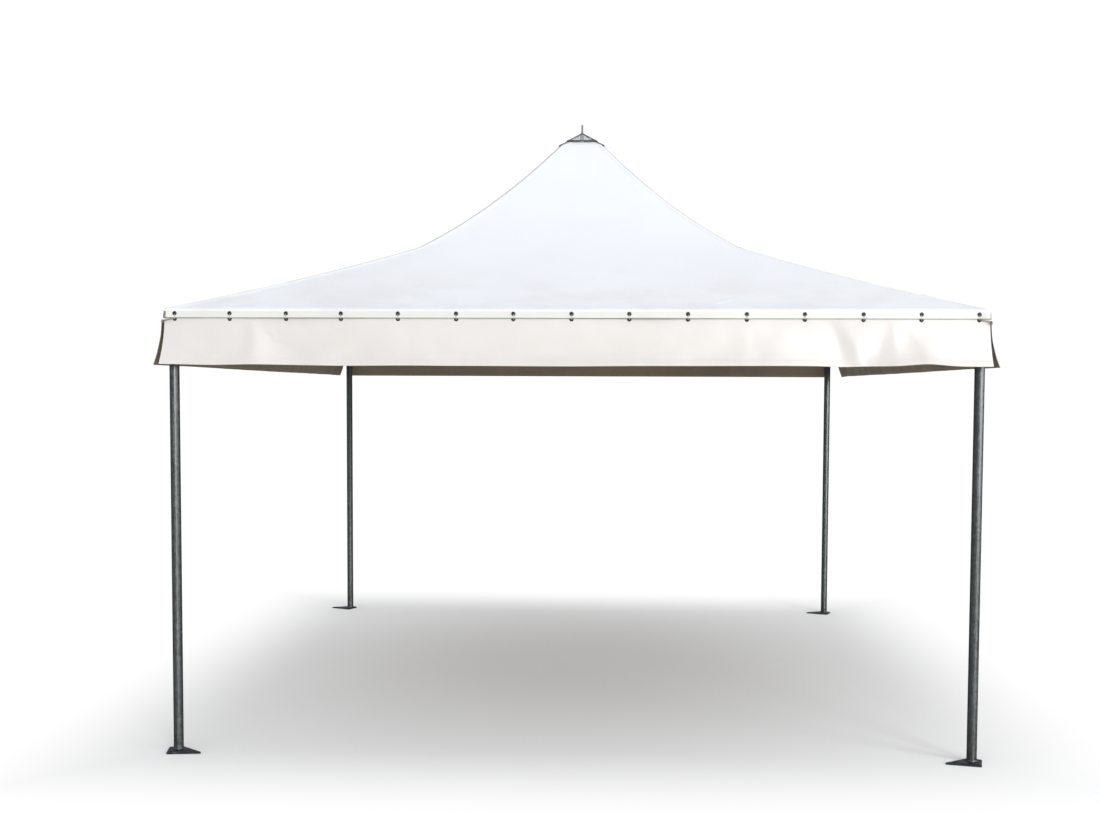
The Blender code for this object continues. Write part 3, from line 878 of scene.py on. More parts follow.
class Finishes:
    """All finishes of the tent, built once."""

    def __init__(self) -> None:
        """Build the groups and the materials."""
        effects = Effects()
        # Roof outside: its blue tint, against the cream of the hem strip in the same cloth, is painted sky reflection;
        # its darkening from 2.62 m down to 2.20 m towards the eave is painted shade.
        self.roof = CoatedCloth(
            "roof_outside", (0.835, 0.858, 0.900), (0.810, 0.825, 0.865), (0.71, 0.70, 0.715),
            0.45, 2.62, 2.20, roughness=0.40, crease=0.35).build(effects)
        # The hem strip is the roof's own cloth; its cream tint is painted warm bounce light, as on the valance.
        self.hem_strip = CoatedCloth(
            "hem_strip", (0.748, 0.756, 0.712), (0.728, 0.732, 0.684), (0.64, 0.62, 0.57), 0.25, 2.20, 2.15,
            roughness=0.42, crease=0.25).build(effects)
        # A dark band along the hem strip's lower edge and down its left corner: painted shadow line where the hem
        # meets the valance.
        self.hem_shadow_line = CoatedCloth(
            "hem_shadow_line", (0.34, 0.33, 0.30), (0.16, 0.155, 0.14), (0.10, 0.095, 0.085), 0.6, 2.20, 2.10,
            roughness=0.6).build(effects)
        # Grey on the hip strips over the real seams and down the hem's corners: painted shade line along the hips.
        self.hip_shade_line = CoatedCloth(
            "hip_seam_shade", (0.40, 0.40, 0.40), (0.55, 0.55, 0.55), (0.30, 0.29, 0.28), 0.4, 3.4, 2.2,
            roughness=0.6).build(effects)
        # Inside of the roof: dark taupe brown that stands in for the shade under the roof, not the cloth's own colour:
        # painted shade.
        self.lining = CoatedCloth(
            "roof_inside_painted_shade", (0.180, 0.146, 0.093), (0.157, 0.127, 0.081), (0.13, 0.11, 0.085), 0.5, 3.0, 2.15,
            roughness=0.55).build(effects)
        # Valance outside: its warm cream tint is painted warm light from the floor's bounce and the front fill.
        self.hem = CoatedCloth(
            "valance_outside", (0.722, 0.700, 0.678), (0.702, 0.678, 0.652), (0.60, 0.57, 0.53), 0.35, 2.12, 1.93,
            roughness=0.42, crease=0.5).build(effects)
        # Inside of the valances: the same dark taupe brown, painted shade.
        self.skirt_lining = CoatedCloth(
            "valance_inside_painted_shade", (0.206, 0.160, 0.102), (0.182, 0.141, 0.088), (0.14, 0.12, 0.09),
            0.5, 2.12, 1.93, roughness=0.55).build(effects)
        self.cut_edge = CoatedCloth(
            "cut_edge", (0.42, 0.39, 0.34), (0.34, 0.31, 0.27), (0.25, 0.22, 0.18), 0.6, 2.3, 1.9,
            roughness=0.7).build(effects)
        # The legs' dark specular tint keeps their edges dark: painted shade.
        self.zinc = Zinc(
            "weathered_zinc", (0.112, 0.121, 0.122), (0.150, 0.161, 0.162), roughness=0.40,
            rim=(0.10, 0.11, 0.11)).build(effects)
        self.joint = Zinc(
            "joint_zinc", (0.13, 0.14, 0.143), (0.23, 0.245, 0.25), flakes=140.0, bump=0.3).build(effects)
        self.weld = Zinc(
            "weld_bead", (0.10, 0.10, 0.105), (0.26, 0.26, 0.27), roughness=0.45, flakes=300.0).build(effects)
        self.plate = DarkPlate(
            "foot_plate_steel", (0.030, 0.038, 0.046), (0.115, 0.125, 0.140)).build(effects)
        self.cap = DarkPlate(
            "cap_steel", (0.080, 0.082, 0.084), (0.12, 0.122, 0.125), roughness=0.66,
            metallic=0.15).build(effects)
        self.cap_rib = Zinc(
            "cap_rib", (0.27, 0.275, 0.28), (0.34, 0.345, 0.35), metallic=0.3, roughness=0.60).build(effects)
        self.pin = Zinc(
            "pin_zinc", (0.17, 0.175, 0.18), (0.24, 0.245, 0.25), metallic=0.3, roughness=0.55).build(effects)
        self.cap_face = Zinc(
            "cap_sheet", (0.56, 0.57, 0.58), (0.66, 0.67, 0.68), metallic=0.35, roughness=0.55,
            flakes=120.0).build(effects)
        self.bolt = Zinc("bolt_zinc", (0.30, 0.30, 0.31), (0.46, 0.46, 0.47), flakes=500.0).build(effects)
        # The eyelets' specular tint dims their edges too: painted shade.
        self.eyelet = Zinc(
            "eyelet_nickel", (0.050, 0.052, 0.052), (0.11, 0.112, 0.11), roughness=0.42, flakes=600.0,
            rim=(0.3, 0.3, 0.3)).build(effects)
        # A black disc that closes each eyelet's hole: painted shade where the hole would show the lit cloth behind.
        self.grommet = DarkPlate(
            "grommet_rubber", (0.012, 0.012, 0.012), (0.020, 0.020, 0.020), (0.02, 0.019, 0.018), roughness=0.75,
            metallic=0.0).build(effects)
        self.cord = TwistedCord("lacing_cord", (0.62, 0.61, 0.58), (0.40, 0.39, 0.36)).build(effects)
        self.tie = TwistedCord("corner_tie", (0.34, 0.30, 0.28), (0.14, 0.12, 0.11)).build(effects)
        self.floor = PaleFloor().build()


# Canopy


@dataclass(frozen=True)
class Crease:
    """A tension crease in the roof, in the front side's own directions."""

    side: Side
    along: float
    inward: float
    angle: float
    length: float
    width: float
    depth: float
    lead: float = 0.02

    @property
    def sharp(self) -> bool:
        """Whether the crease is finer than the sheet's own grid."""
        return self.width < 0.03

    def beside(self, along: float, inward: float) -> tuple[float, float]:
        """How far a place lies along the crease, and how far to its side."""
        right, up = along - self.along, inward - self.inward
        run = right * math.cos(self.angle) + up * math.sin(self.angle)
        return run, up * math.cos(self.angle) - right * math.sin(self.angle)

    def near(self, along: float, inward: float) -> bool:
        """Whether a place is close enough for the crease to show there."""
        run, off = self.beside(along, inward)
        return -0.03 < run < self.length + 0.01 and abs(off) < 2.4 * self.width

    def relief(self, along: float, inward: float) -> float:
        """The crease's height at a place.

        Args:
            along: distance along the eave, from the middle to the right.
            inward: distance from the eave towards the peak.

        Returns:
            The height, up on one side of the crease and down on the other.
        """
        run, off = self.beside(along, inward)
        off /= self.width
        if run < -self.lead or run > self.length or abs(off) > 3:
            return 0.0
        share = min(max((run + self.lead) / (self.length + self.lead), 0.0), 1.0)
        fade = math.sin(math.pi * share) ** 0.7
        return self.depth * fade * off * math.exp(-off * off) * 2.3


@dataclass
class Canopy:
    """The roof cover: one sheet from the crown over hips and eaves down to the hem."""

    thickness: float = CANOPY_THICKNESS
    columns: int = 100
    hip_radius: float = 0.012
    seam_width: float = 0.034
    seam_step: float = 0.003
    seam_height: float = 0.0016
    sag: float = 0.008
    bridge_reach: float = 0.52
    fold_radius: float = 0.009
    hem_lip: float = 0.0012
    hem_gape: float = 0.0055
    hem_rows: tuple[float, ...] = (2.184, 2.1785, 2.173, 2.1675, 2.162, 2.158, 2.1538, 2.1520, 2.1505)
    hem_from: float = 2.1905
    hem_depth: float = 0.05
    hem_ripple: float = 0.0006
    corner_kick: float = 0.005
    creases: list[Crease] = field(default_factory=list)

    def __post_init__(self) -> None:
        """Set the creases: the photographed ones at the front and seeded ones at the other sides."""
        quarter = math.pi / 4
        for along, length, depth in (
                (0.606, 0.34, 0.0032), (0.812, 0.17, 0.0028), (1.100, 0.13, 0.0024), (1.350, 0.11, 0.0020)):
            self.creases.append(Crease(Side.FRONT, along, 0.0, quarter, length, 0.014, depth))
        pull = random.Random(41)
        for side in (Side.RIGHT, Side.BACK, Side.LEFT):
            for place in pull.sample(EYELET_PLACES[1:-1], 3):
                lean = quarter if place > 0 else math.pi - quarter
                length = pull.uniform(0.08, 0.26)
                self.creases.append(Crease(
                    side, place, 0.0, lean + pull.uniform(-0.2, 0.2), length, 0.014,
                    pull.uniform(0.0018, 0.0036)))
        for side in Side:
            for way in (1, -1):
                lean = math.radians(90 - way * 28)
                self.creases.append(Crease(
                    side, way * 1.62, 0.10, lean, 0.42, 0.055, 0.0030 * pull.uniform(0.7, 1.2)))

    def profile(self) -> list[tuple[float, float]]:
        """The outer face's section from the crown's opening to the hem, as offsets and heights."""
        points = []
        edge, shoulder, knee = TENT.roof_edge, TENT.shoulder_offset, TENT.knee_offset
        for index in range(3):
            points.append(edge + (shoulder - 0.006 - edge) * index / 2)
        points.append(shoulder)
        for index in range(1, 24):
            points.append(shoulder + (knee - shoulder) * index / 24)
        points += [knee - 0.012, knee, knee + 0.012]
        points.sort()
        start, end = knee + 0.03, TENT.eave_offset - self.fold_radius
        for index in range(31):
            points.append(start + (end - start) * (index / 30) ** 0.85)
        section = [(offset, TENT.height(offset)) for offset in points]
        slope = math.atan(TENT.slope(TENT.eave_offset - 0.01))
        bend = math.pi / 2 - slope
        tangent = self.fold_radius * math.tan(bend / 2)
        centre = Vector((TENT.eave_offset - self.fold_radius, TENT.eave_height - tangent))
        for index in range(6):
            angle = math.pi / 2 - slope - bend * index / 5
            section.append((centre.x + self.fold_radius * math.cos(angle),
                            centre.y + self.fold_radius * math.sin(angle)))
        for height in self.hem_rows:
            section.append((TENT.eave_offset, height))
        return section

    @staticmethod
    def normals(section: Sequence[tuple[float, float]]) -> list[Vector]:
        """Outward directions at a section's points, as offset and height parts."""
        out = []
        for index in range(len(section)):
            before = Vector(section[max(index - 1, 0)])
            after = Vector(section[min(index + 1, len(section) - 1)])
            run = (after - before).normalized()
            out.append(Vector((-run.y, run.x)))
        return out

    def plan(self, offset: float) -> list[tuple[Side, float, float, float]]:
        """The columns of one ring, as side, distance along it, and corner angle or -1 on the straight."""
        radius = min(self.hip_radius, 0.12 * offset)
        first = offset - radius
        second = offset - max(min(self.seam_width, 0.3 * offset), radius + 0.002)
        third = second - self.seam_step * min(1.0, offset / 0.2)
        ring = []
        for side in Side:
            ring += [(side, -first, -1.0, radius), (side, -second, -1.0, radius)]
            for index in range(self.columns + 1):
                ring.append((side, third * (2 * index / self.columns - 1), -1.0, radius))
            ring += [(side, second, -1.0, radius), (side, first, -1.0, radius)]
            for index in range(1, 4):
                ring.append((side, first, index / 4 * math.pi / 2, radius))
        return ring

    def relief(self, side: Side, along: float, offset: float, height: float, corner: bool) -> float:
        """How far the cloth stands out from its plain section.

        Args:
            side: the side of the roof.
            along: distance along that side.
            offset: the ring's offset.
            height: the ring's height.
            corner: whether the point is on a hip.

        Returns:
            The relief, square to the section.
        """
        inward = TENT.eave_offset - offset
        on_hem = height < TENT.eave_height - 0.012
        seam = min(self.seam_width, 0.3 * offset)
        to_hip = offset - abs(along)
        rise = self.seam_height if corner or to_hip <= seam + 0.0005 else 0.0
        if corner:
            if on_hem:
                return rise + self.corner_kick * (TENT.eave_height - height) / self.hem_depth
            return rise + TENT.bridged(offset, 0.03) - TENT.height(offset)
        share = min(abs(along) / max(offset, 0.01), 1.0)
        spread = max(0.0, 1 - share ** 2)
        place = side.turn @ Vector((along, -offset, height))
        swell = noise.noise(place * 1.7) * 0.0045 + noise.noise(place * 5.3) * 0.0011
        if on_hem:
            ripple = math.sin(along * 2 * math.pi / EYELET_PITCH + side.value) * self.hem_ripple
            drop = (TENT.eave_height - height) / self.hem_depth
            curl = max(0.0, (2.168 - height) / 0.015) ** 1.5 * self.lip(side, along)
            return rise + (noise.noise(place * 6.0) * 0.0014 + ripple) * drop + curl
        window = math.sin(math.pi * min(inward / (TENT.eave_offset - TENT.shoulder_offset), 1.0))
        bridge = TENT.bridged(offset, self.bridge_reach * spread ** 0.7 + 0.03) - TENT.height(offset)
        return rise + bridge - self.sag * spread * window + swell * spread * min(1.0, inward / 0.25)

    def lip(self, side: Side, along: float) -> float:
        """How far the hem's lower edge curls off the valance."""
        if side is Side.FRONT:
            gape = math.exp(-((along - 0.40) / 0.17) ** 2) + 0.7 * math.exp(-((along + 1.36) / 0.20) ** 2)
        else:
            gape = max(0.0, noise.noise(Vector((along * 1.6, side.value * 5.0, 0.3)))) * 1.6
        return self.hem_lip + self.hem_gape * gape

    def press_creases(self, canopy: bpy.types.Object) -> None:
        """Refine the cloth about the sharp creases, and press all creases into both of its faces.

        Args:
            canopy: the sheet.
        """
        back = {side: side.turn.inverted() for side in Side}

        def creases_at(place: Vector) -> list[tuple[Crease, float, float]]:
            """The creases that reach a place, each with the place in its side's own directions."""
            found = []
            if place.z < TENT.eave_height - 0.001 or place.z > TENT.eave_height + 0.34:
                return found
            for crease in self.creases:
                local = back[crease.side] @ place
                if abs(local.x) < -local.y and crease.near(local.x, TENT.eave_offset + local.y):
                    found.append((crease, local.x, TENT.eave_offset + local.y))
            return found

        with editing(canopy):
            pick(lambda centre, normal: any(crease.sharp for crease, _, _ in creases_at(centre)))
            bpy.ops.mesh.subdivide(number_cuts=2)
        lean = math.atan(TENT.lower_slope)
        for vert in canopy.data.vertices:
            for crease, along, inward in creases_at(vert.co):
                square = crease.side.turn @ Vector((0, -math.sin(lean), math.cos(lean)))
                vert.co += square * crease.relief(along, inward)

    def build(self, finishes: Finishes) -> bpy.types.Object:
        """Skin the sheet and cut the eyelets' holes.

        Args:
            finishes: all finishes.

        Returns:
            The canopy.
        """
        outer = self.profile()
        outward = self.normals(outer)
        rings = []
        for (offset, height), normal in zip(outer, outward):
            ring = []
            for side, along, angle, radius in self.plan(offset):
                relief = self.relief(side, along, offset, height, angle >= 0)
                if angle < 0:
                    place, way = Vector((along, -offset, height)), Vector((0, -1, 0))
                else:
                    way = Vector((math.sin(angle), -math.cos(angle), 0))
                    place = Vector((offset - radius, radius - offset, height)) + way * radius
                square = Vector((way.x * normal.x, way.y * normal.x, normal.y))
                ring.append((side.turn @ (place + square * relief), side.turn @ square))
            rings.append(ring)
        columns = []
        for index in range(len(rings[0])):
            column = [ring[index][0] for ring in rings]
            inside = [ring[index][0] - ring[index][1] * self.thickness for ring in reversed(rings)]
            columns.append(column + inside)
        plan = self.plan(TENT.eave_offset)
        first_hem = next(row for row, (_, height) in enumerate(outer) if height < self.hem_from)
        hip_shade_end = next(row for row, (offset, _) in enumerate(outer) if offset > TENT.eave_offset - 0.5)

        def slot_at(column: int, row: int) -> int:
            """The slot of the hem's painted shadow line, the hem strip's, the painted shade line on the hips, or the
            roof's.
            """
            seam = 0.3 < plan[column][2] < 1.3
            # The hem's lowest rows take the dark painted shadow line.
            if row >= len(outer) - 3:
                return 5
            # On the hem the corner columns take the painted shade line, darker on the left, where that corner stands
            # in shade.
            if row >= first_hem and seam:
                return 5 if plan[column][0] is Side.LEFT else 4
            if row >= first_hem:
                return 3
            # Up the hips, from the crown to half a metre in from the eave, the corner columns take the grey painted
            # shade line.
            return 4 if seam and row < hip_shade_end else 0

        canopy = skinned("canopy_cover", columns, len(rings), True,
                         (finishes.roof, finishes.lining, finishes.cut_edge, finishes.hem_strip, finishes.hip_shade_line,
                          finishes.hem_shadow_line), slot_at)
        self.press_creases(canopy)
        holes = eyelet_cutters(UPPER_EYELET, TENT.eave_offset)
        apply_modifier(canopy, "BOOLEAN", object=holes, operation="DIFFERENCE", solver="EXACT")
        remove(holes)
        return canopy

    def dress(self, canopy: bpy.types.Object) -> None:
        """Shade the canopy and tie it to the frame.

        Args:
            canopy: the sheet.
        """
        smooth(canopy, 40)
        finish(canopy, Slot.ROOF, replaces=[f"roof_panel_{side.label}" for side in Side])


def eyelet_cutters(height: float, offset: float) -> bpy.types.Object:
    """Round bars through every eyelet of one row, on all four sides.

    Args:
        height: the row's height.
        offset: the cloth's offset there.

    Returns:
        The bars as one object.
    """
    deselect_all()
    bpy.ops.mesh.primitive_cylinder_add(
        vertices=14, radius=HOLE_RADIUS, depth=0.05, location=(0, -offset, height),
        rotation=(math.pi / 2, 0, 0))
    bar = place_in_mesh("eyelet_bar")
    bars = []
    for side in Side:
        for index, along in enumerate(EYELET_PLACES):
            matrix = side.turn @ Matrix.Translation((along, 0, 0))
            bars.append(copied(bar, f"bar_{side.label}_{index}", matrix))
    remove(bar)
    return joined(bars, "eyelet_bars")


# Valances


@dataclass(frozen=True)
class Flute:
    """A soft fold in a valance, which widens from the top to the bottom edge."""

    along: float
    width: float
    height: float
    lean: float = 0.0
    start: float = 0.0

    def relief(self, along: float, share: float) -> float:
        """How far the fold stands out.

        Args:
            along: distance along the valance.
            share: how far down it is, from 0 under the hem to 1 at the bottom edge.

        Returns:
            The fold's height, less than zero for a hollow.
        """
        depth = max(share - self.start, 0.0) / max(1 - self.start, 0.01)
        width = self.width * (0.35 + 0.65 * depth)
        off = (along - self.along - self.lean * share) / width
        return self.height * depth ** 0.8 * math.exp(-off * off)


FRONT_FLUTES = (
    Flute(-1.811, 0.097, -0.0042), Flute(-1.578, 0.077, 0.0078, 0.07), Flute(-1.551, 0.056, 0.0074),
    Flute(-1.540, 0.128, 0.0053, -0.06), Flute(-1.517, 0.092, -0.0060, 0.16),
    Flute(-1.164, 0.124, -0.0036, 0.11), Flute(-0.974, 0.166, 0.0069, 0.15), Flute(-0.876, 0.142, 0.0053, 0.09),
    Flute(0.748, 0.075, -0.0021, 0.01), Flute(0.823, 0.119, 0.0035, 0.10), Flute(0.863, 0.045, -0.0026, 0.03),
    Flute(1.077, 0.131, 0.0048, -0.12), Flute(1.245, 0.115, -0.0170, 0.025),
    Flute(1.250, 0.053, -0.0100, 0.065), Flute(1.310, 0.028, 0.0025, 0.08),
    Flute(1.489, 0.026, 0.0029, -0.06), Flute(1.520, 0.074, -0.0148, -0.10), Flute(1.533, 0.041, 0.0059, 0.03),
    Flute(1.604, 0.050, 0.0057, 0.11), Flute(1.687, 0.110, 0.0061), Flute(1.817, 0.114, 0.0083, -0.14),
)


PUCKERS = (
    Crease(Side.FRONT, -1.175, 0.183, -0.22, 0.085, 0.012, 0.0016),
    Crease(Side.FRONT, -1.480, 0.155, -0.85, 0.050, 0.012, 0.0016),
    Crease(Side.FRONT, -1.450, 0.112, -0.16, 0.070, 0.012, 0.0014),
    Crease(Side.FRONT, 1.310, 0.105, 0.55, 0.045, 0.010, 0.0012),
)


def seeded_flutes(seed: int) -> tuple[Flute, ...]:
    """Folds for a side that the photograph doesn't show, at seeded places."""
    pull = random.Random(seed)
    folds = []
    along = -1.85
    while along < 1.85:
        height = pull.choice((1, 1, -1)) * pull.uniform(0.003, 0.010)
        folds.append(Flute(along, pull.uniform(0.04, 0.12), height, pull.uniform(-0.08, 0.08)))
        along += pull.uniform(0.12, 0.34)
    return tuple(folds)


@dataclass
class Valance:
    """One loose strip that hangs behind the hem and kicks out at its bottom edge."""

    side: Side
    half: float
    flutes: tuple[Flute, ...]
    droop: tuple[Flute, ...] = ()
    front_end: float = 0.0
    stand_off: float = 0.0
    back_off: float = 0.0
    splay: tuple[float, float] = (0.0, 0.0)
    thickness: float = VALANCE_THICKNESS
    columns: int = 360
    hem: float = 0.024
    hem_swell: float = 0.0007
    rumple: float = 0.0028
    belly: float = 0.0034
    creases: tuple[Crease, ...] = ()
    rows: tuple[float, ...] = (0.0, 0.25, 0.5, 0.75, 1.0)

    @property
    def name(self) -> str:
        """The piece's name."""
        return f"valance_cloth_{self.side.label}"

    def heights(self) -> list[float]:
        """The rows' heights from the top edge to the bottom edge."""
        top = [2.172, 2.1655, 2.159, 2.1525, 2.147, 2.1425, 2.138, 2.132]
        low = TENT.valance_bottom + self.hem
        body = [2.132 + (low + 0.002 - 2.132) * index / 18 for index in range(1, 19)]
        bottom = [low, low - 0.006, low - 0.013, TENT.valance_bottom + 0.003, TENT.valance_bottom + 0.001,
                  TENT.valance_bottom]
        return top + body + bottom

    def point(self, along: float, height: float) -> tuple[Vector, float]:
        """A point of the outer face and the cloth's extra thickness there.

        Args:
            along: distance along the valance.
            height: the row's height on the flat cloth.

        Returns:
            The point at the front, and the swell of the hem.
        """
        bend = 2.147
        share = max(0.0, (bend - height) / (bend - TENT.valance_bottom))
        relief = sum(flute.relief(along, share) for flute in self.flutes)
        belly = math.exp(-((along + 0.15) / 1.0) ** 2) * (1 + 0.45 * math.sin(along * 5.0 + 1.0))
        relief += self.belly * belly * math.sin(2 * math.pi * min(share, 1.0))
        place = Vector((along * 3.1, self.side.value * 7.0, height * 6.0))
        rumple = noise.noise(place) + noise.noise(place * 3.7) * 0.3
        relief += rumple * self.rumple * min(share * 3, 1.0)
        relief += sum(crease.relief(along, height - TENT.valance_bottom) for crease in self.creases)
        if self.front_end:
            near_end = math.exp(-((along - self.front_end * self.half) / 0.30) ** 2)
            relief += self.stand_off * near_end * (1 - 0.1 * share) * min(share * 14, 1.0)
            far_end = math.exp(-((along + self.front_end * self.half) / 0.26) ** 2)
            relief += self.back_off * far_end * min(share * 2.2, 1.0)
        offset = TENT.valance_face + TENT.valance_flare * share ** 2 + relief
        fall = sum(fold.relief(along, share) for fold in self.droop)
        swell = self.hem_swell if height <= TENT.valance_bottom + self.hem else 0.0
        left, right = (math.exp(-((abs(along - way * self.half)) / 0.30) ** 2) for way in (-1, 1))
        spread = (right * self.splay[1] - left * self.splay[0]) * share ** 1.5
        return Vector((along + spread, -offset - swell, height + fall)), swell

    def build(self, finishes: Finishes) -> bpy.types.Object:
        """Skin the strip.

        Args:
            finishes: all finishes.

        Returns:
            The valance.
        """
        heights = self.heights()
        columns = []
        for index in range(self.columns + 1):
            along = self.half * (2 * index / self.columns - 1)
            outer = [self.point(along, height) for height in heights]
            column = [point for point, _ in outer]
            inner = []
            for row in range(len(outer) - 1, -1, -1):
                before, after = column[max(row - 1, 0)], column[min(row + 1, len(column) - 1)]
                run = (after - before).normalized()
                normal = Vector((0, run.z, -run.y))
                inner.append(column[row] - normal * (self.thickness + 2 * outer[row][1]))
            columns.append(column + inner)
        cloth = skinned(self.name, columns, len(heights), False,
                        (finishes.hem, finishes.skirt_lining, finishes.cut_edge))
        cloth.data.transform(self.side.turn)
        return cloth

    def dress(self, cloth: bpy.types.Object) -> None:
        """Shade the valance and tie it to the frame.

        Args:
            cloth: the sheet.
        """
        smooth(cloth, 40)
        finish(cloth, Slot.VALANCE, replaces=[f"valance_{self.side.label}"])


# Eyelets and lacing


@dataclass
class Eyelets:
    """Metal rings on both rows of one side, each with its hole closed by a black disc of painted shade, and a washer
    at the back.
    """

    outer_radius: float = 0.0106
    hole_radius: float = 0.0066
    depth: float = 0.0016

    def ring(self, finishes: Finishes) -> bpy.types.Object:
        """One ring, facing the front at the origin.

        Args:
            finishes: all finishes.

        Returns:
            The ring.
        """
        deselect_all()
        bpy.ops.mesh.primitive_cylinder_add(
            vertices=20, radius=self.outer_radius, depth=self.depth, rotation=(math.pi / 2, 0, 0))
        ring = place_in_mesh("eyelet_ring")
        with editing(ring):
            pick(lambda centre, normal: abs(normal.y) > 0.9)
            bpy.ops.mesh.inset(thickness=self.outer_radius - self.hole_radius)
            bpy.ops.mesh.inset(thickness=0.0004)
            bpy.ops.transform.resize(value=(1, 0.35, 1), center_override=(0, 0, 0))
        with editing(ring, Pick.EDGES):
            edge = self.outer_radius * 0.93
            pick(lambda centre, way: math.hypot(centre.x, centre.z) > edge and abs(way.y) < 0.5, Pick.EDGES)
            bpy.ops.mesh.bevel(offset=0.0006, segments=2, affect="EDGES")
        with editing(ring, Pick.VERTS):
            lip = self.hole_radius
            pick(lambda place, normal: abs(math.hypot(place.x, place.z) - lip) < 0.0002 and place.y < 0,
                 Pick.VERTS)
            bpy.ops.transform.translate(value=(0, -0.0007, 0))
        for material in (finishes.eyelet, finishes.grommet):
            ring.data.materials.append(material)
        # Faces inside the hole form a closed disc, which takes the black painted shade.
        for face in ring.data.polygons:
            inside = math.hypot(face.center.x, face.center.z) < self.hole_radius * 0.99
            face.material_index = 1 if inside else 0
        smooth(ring, 30)
        return ring

    def build(self, side: Side, ring: bpy.types.Object, valance: Valance) -> bpy.types.Object:
        """Copies of the ring along both rows of a side.

        Args:
            side: the side.
            ring: the ring to copy.
            valance: the strip that the lower row goes through.

        Returns:
            The rings as one object.
        """
        rings = []
        back = Matrix.Rotation(math.pi, 4, "Z")
        for row, (height, cloth) in enumerate(
                ((UPPER_EYELET, CANOPY_THICKNESS), (LOWER_EYELET, VALANCE_THICKNESS))):
            for index, along in enumerate(EYELET_PLACES):
                offset = TENT.eave_offset if row == 0 else -valance.point(along, height)[0].y
                front = Matrix.Translation((along, -offset - 0.0004, height))
                behind = Matrix.Translation((along, -offset + cloth + 0.0006, height)) @ back
                for name, matrix in (("front", front), ("back", behind)):
                    label = f"ring_{row}_{index}_{name}"
                    rings.append(copied(ring, label, side.turn @ matrix))
        return joined(rings, f"eyelets_{side.label}")


@dataclass
class Lacing:
    """The thin grey cord that ties the valance to the hem through each pair of eyelets."""

    radius: float = 0.0013
    front: float = 0.0036
    behind: float = 0.0085

    def path(self) -> list[Vector]:
        """The cord's points at the front side, pair by pair."""
        face = TENT.eave_offset
        points = []
        for index, along in enumerate(EYELET_PLACES):
            sway = 0.0012 * math.sin(index * 2.3)
            points += [
                Vector((along - 0.006, self.behind - face, UPPER_EYELET + 0.002)),
                Vector((along, 0.001 - face, UPPER_EYELET - 0.001)),
                Vector((along + sway, -self.front - face, UPPER_EYELET - 0.007)),
                Vector((along + sway, -self.front - face - 0.003, 2.155)),
                Vector((along, -self.front - face, 2.148)),
                Vector((along, 0.002 - face, LOWER_EYELET - 0.001)),
                Vector((along + 0.006, self.behind + 0.001 - face, LOWER_EYELET - 0.003)),
            ]
            if along < EYELET_REACH:
                points.append(Vector((along + 0.14, self.behind + 0.002 - face, 2.150)))
        return points

    def build(self, side: Side) -> bpy.types.Object:
        """The cord of one side.

        Args:
            side: the side.

        Returns:
            The cord.
        """
        cord = corded(f"lacing_{side.label}", self.path(), self.radius, sides=2, steps=3)
        cord.data.transform(side.turn)
        return cord


@dataclass
class CornerTie:
    """The short tie that draws two valances together round a corner of the hem."""

    radius: float = 0.0026

    def build(self) -> bpy.types.Object:
        """The tie of the front right corner, with its knot and two short ends.

        Returns:
            The tie.
        """
        face = TENT.eave_offset
        reach = EYELET_REACH
        loop = [
            Vector((reach, 0.008 - face, LOWER_EYELET)),
            Vector((reach + 0.004, -0.006 - face, LOWER_EYELET + 0.001)),
            Vector((reach + 0.022, -0.0065 - face, LOWER_EYELET - 0.003)),
            Vector((face - 0.008, -0.0060 - face, LOWER_EYELET - 0.008)),
            Vector((face + 0.002, -0.0035 - face, LOWER_EYELET - 0.011)),
            Vector((face + 0.0060, 0.006 - face, LOWER_EYELET - 0.010)),
            Vector((face + 0.0062, 0.024 - face, LOWER_EYELET - 0.004)),
            Vector((face + 0.006, -reach - 0.002, LOWER_EYELET + 0.001)),
            Vector((face - 0.008, -reach, LOWER_EYELET)),
        ]
        pieces = [corded("tie_loop", loop, self.radius, sides=3, steps=5)]
        centre = Vector((face - 0.002, -0.0055 - face, LOWER_EYELET - 0.012))
        knot = []
        for index in range(25):
            angle = index / 24 * 4 * math.pi
            swing = 0.0042 + 0.0016 * math.cos(1.5 * angle)
            knot.append(centre + Vector((
                swing * math.cos(angle) * 0.9, swing * math.cos(angle) * -0.7 + 0.002 * math.sin(1.5 * angle),
                swing * math.sin(angle) * 1.25)))
        pieces.append(corded("tie_knot", knot, self.radius * 0.9, sides=3, steps=3))
        for index, (out, down) in enumerate(((0.003, 0.013), (-0.005, 0.010))):
            end = [
                centre,
                centre + Vector((out * 0.6, -0.004, -down * 0.35)),
                centre + Vector((out, -0.003, -down)),
            ]
            pieces.append(corded(f"tie_end_{index}", end, self.radius * 0.8, sides=3, steps=4))
        return joined(pieces, "corner_tie")


# Cap and pin


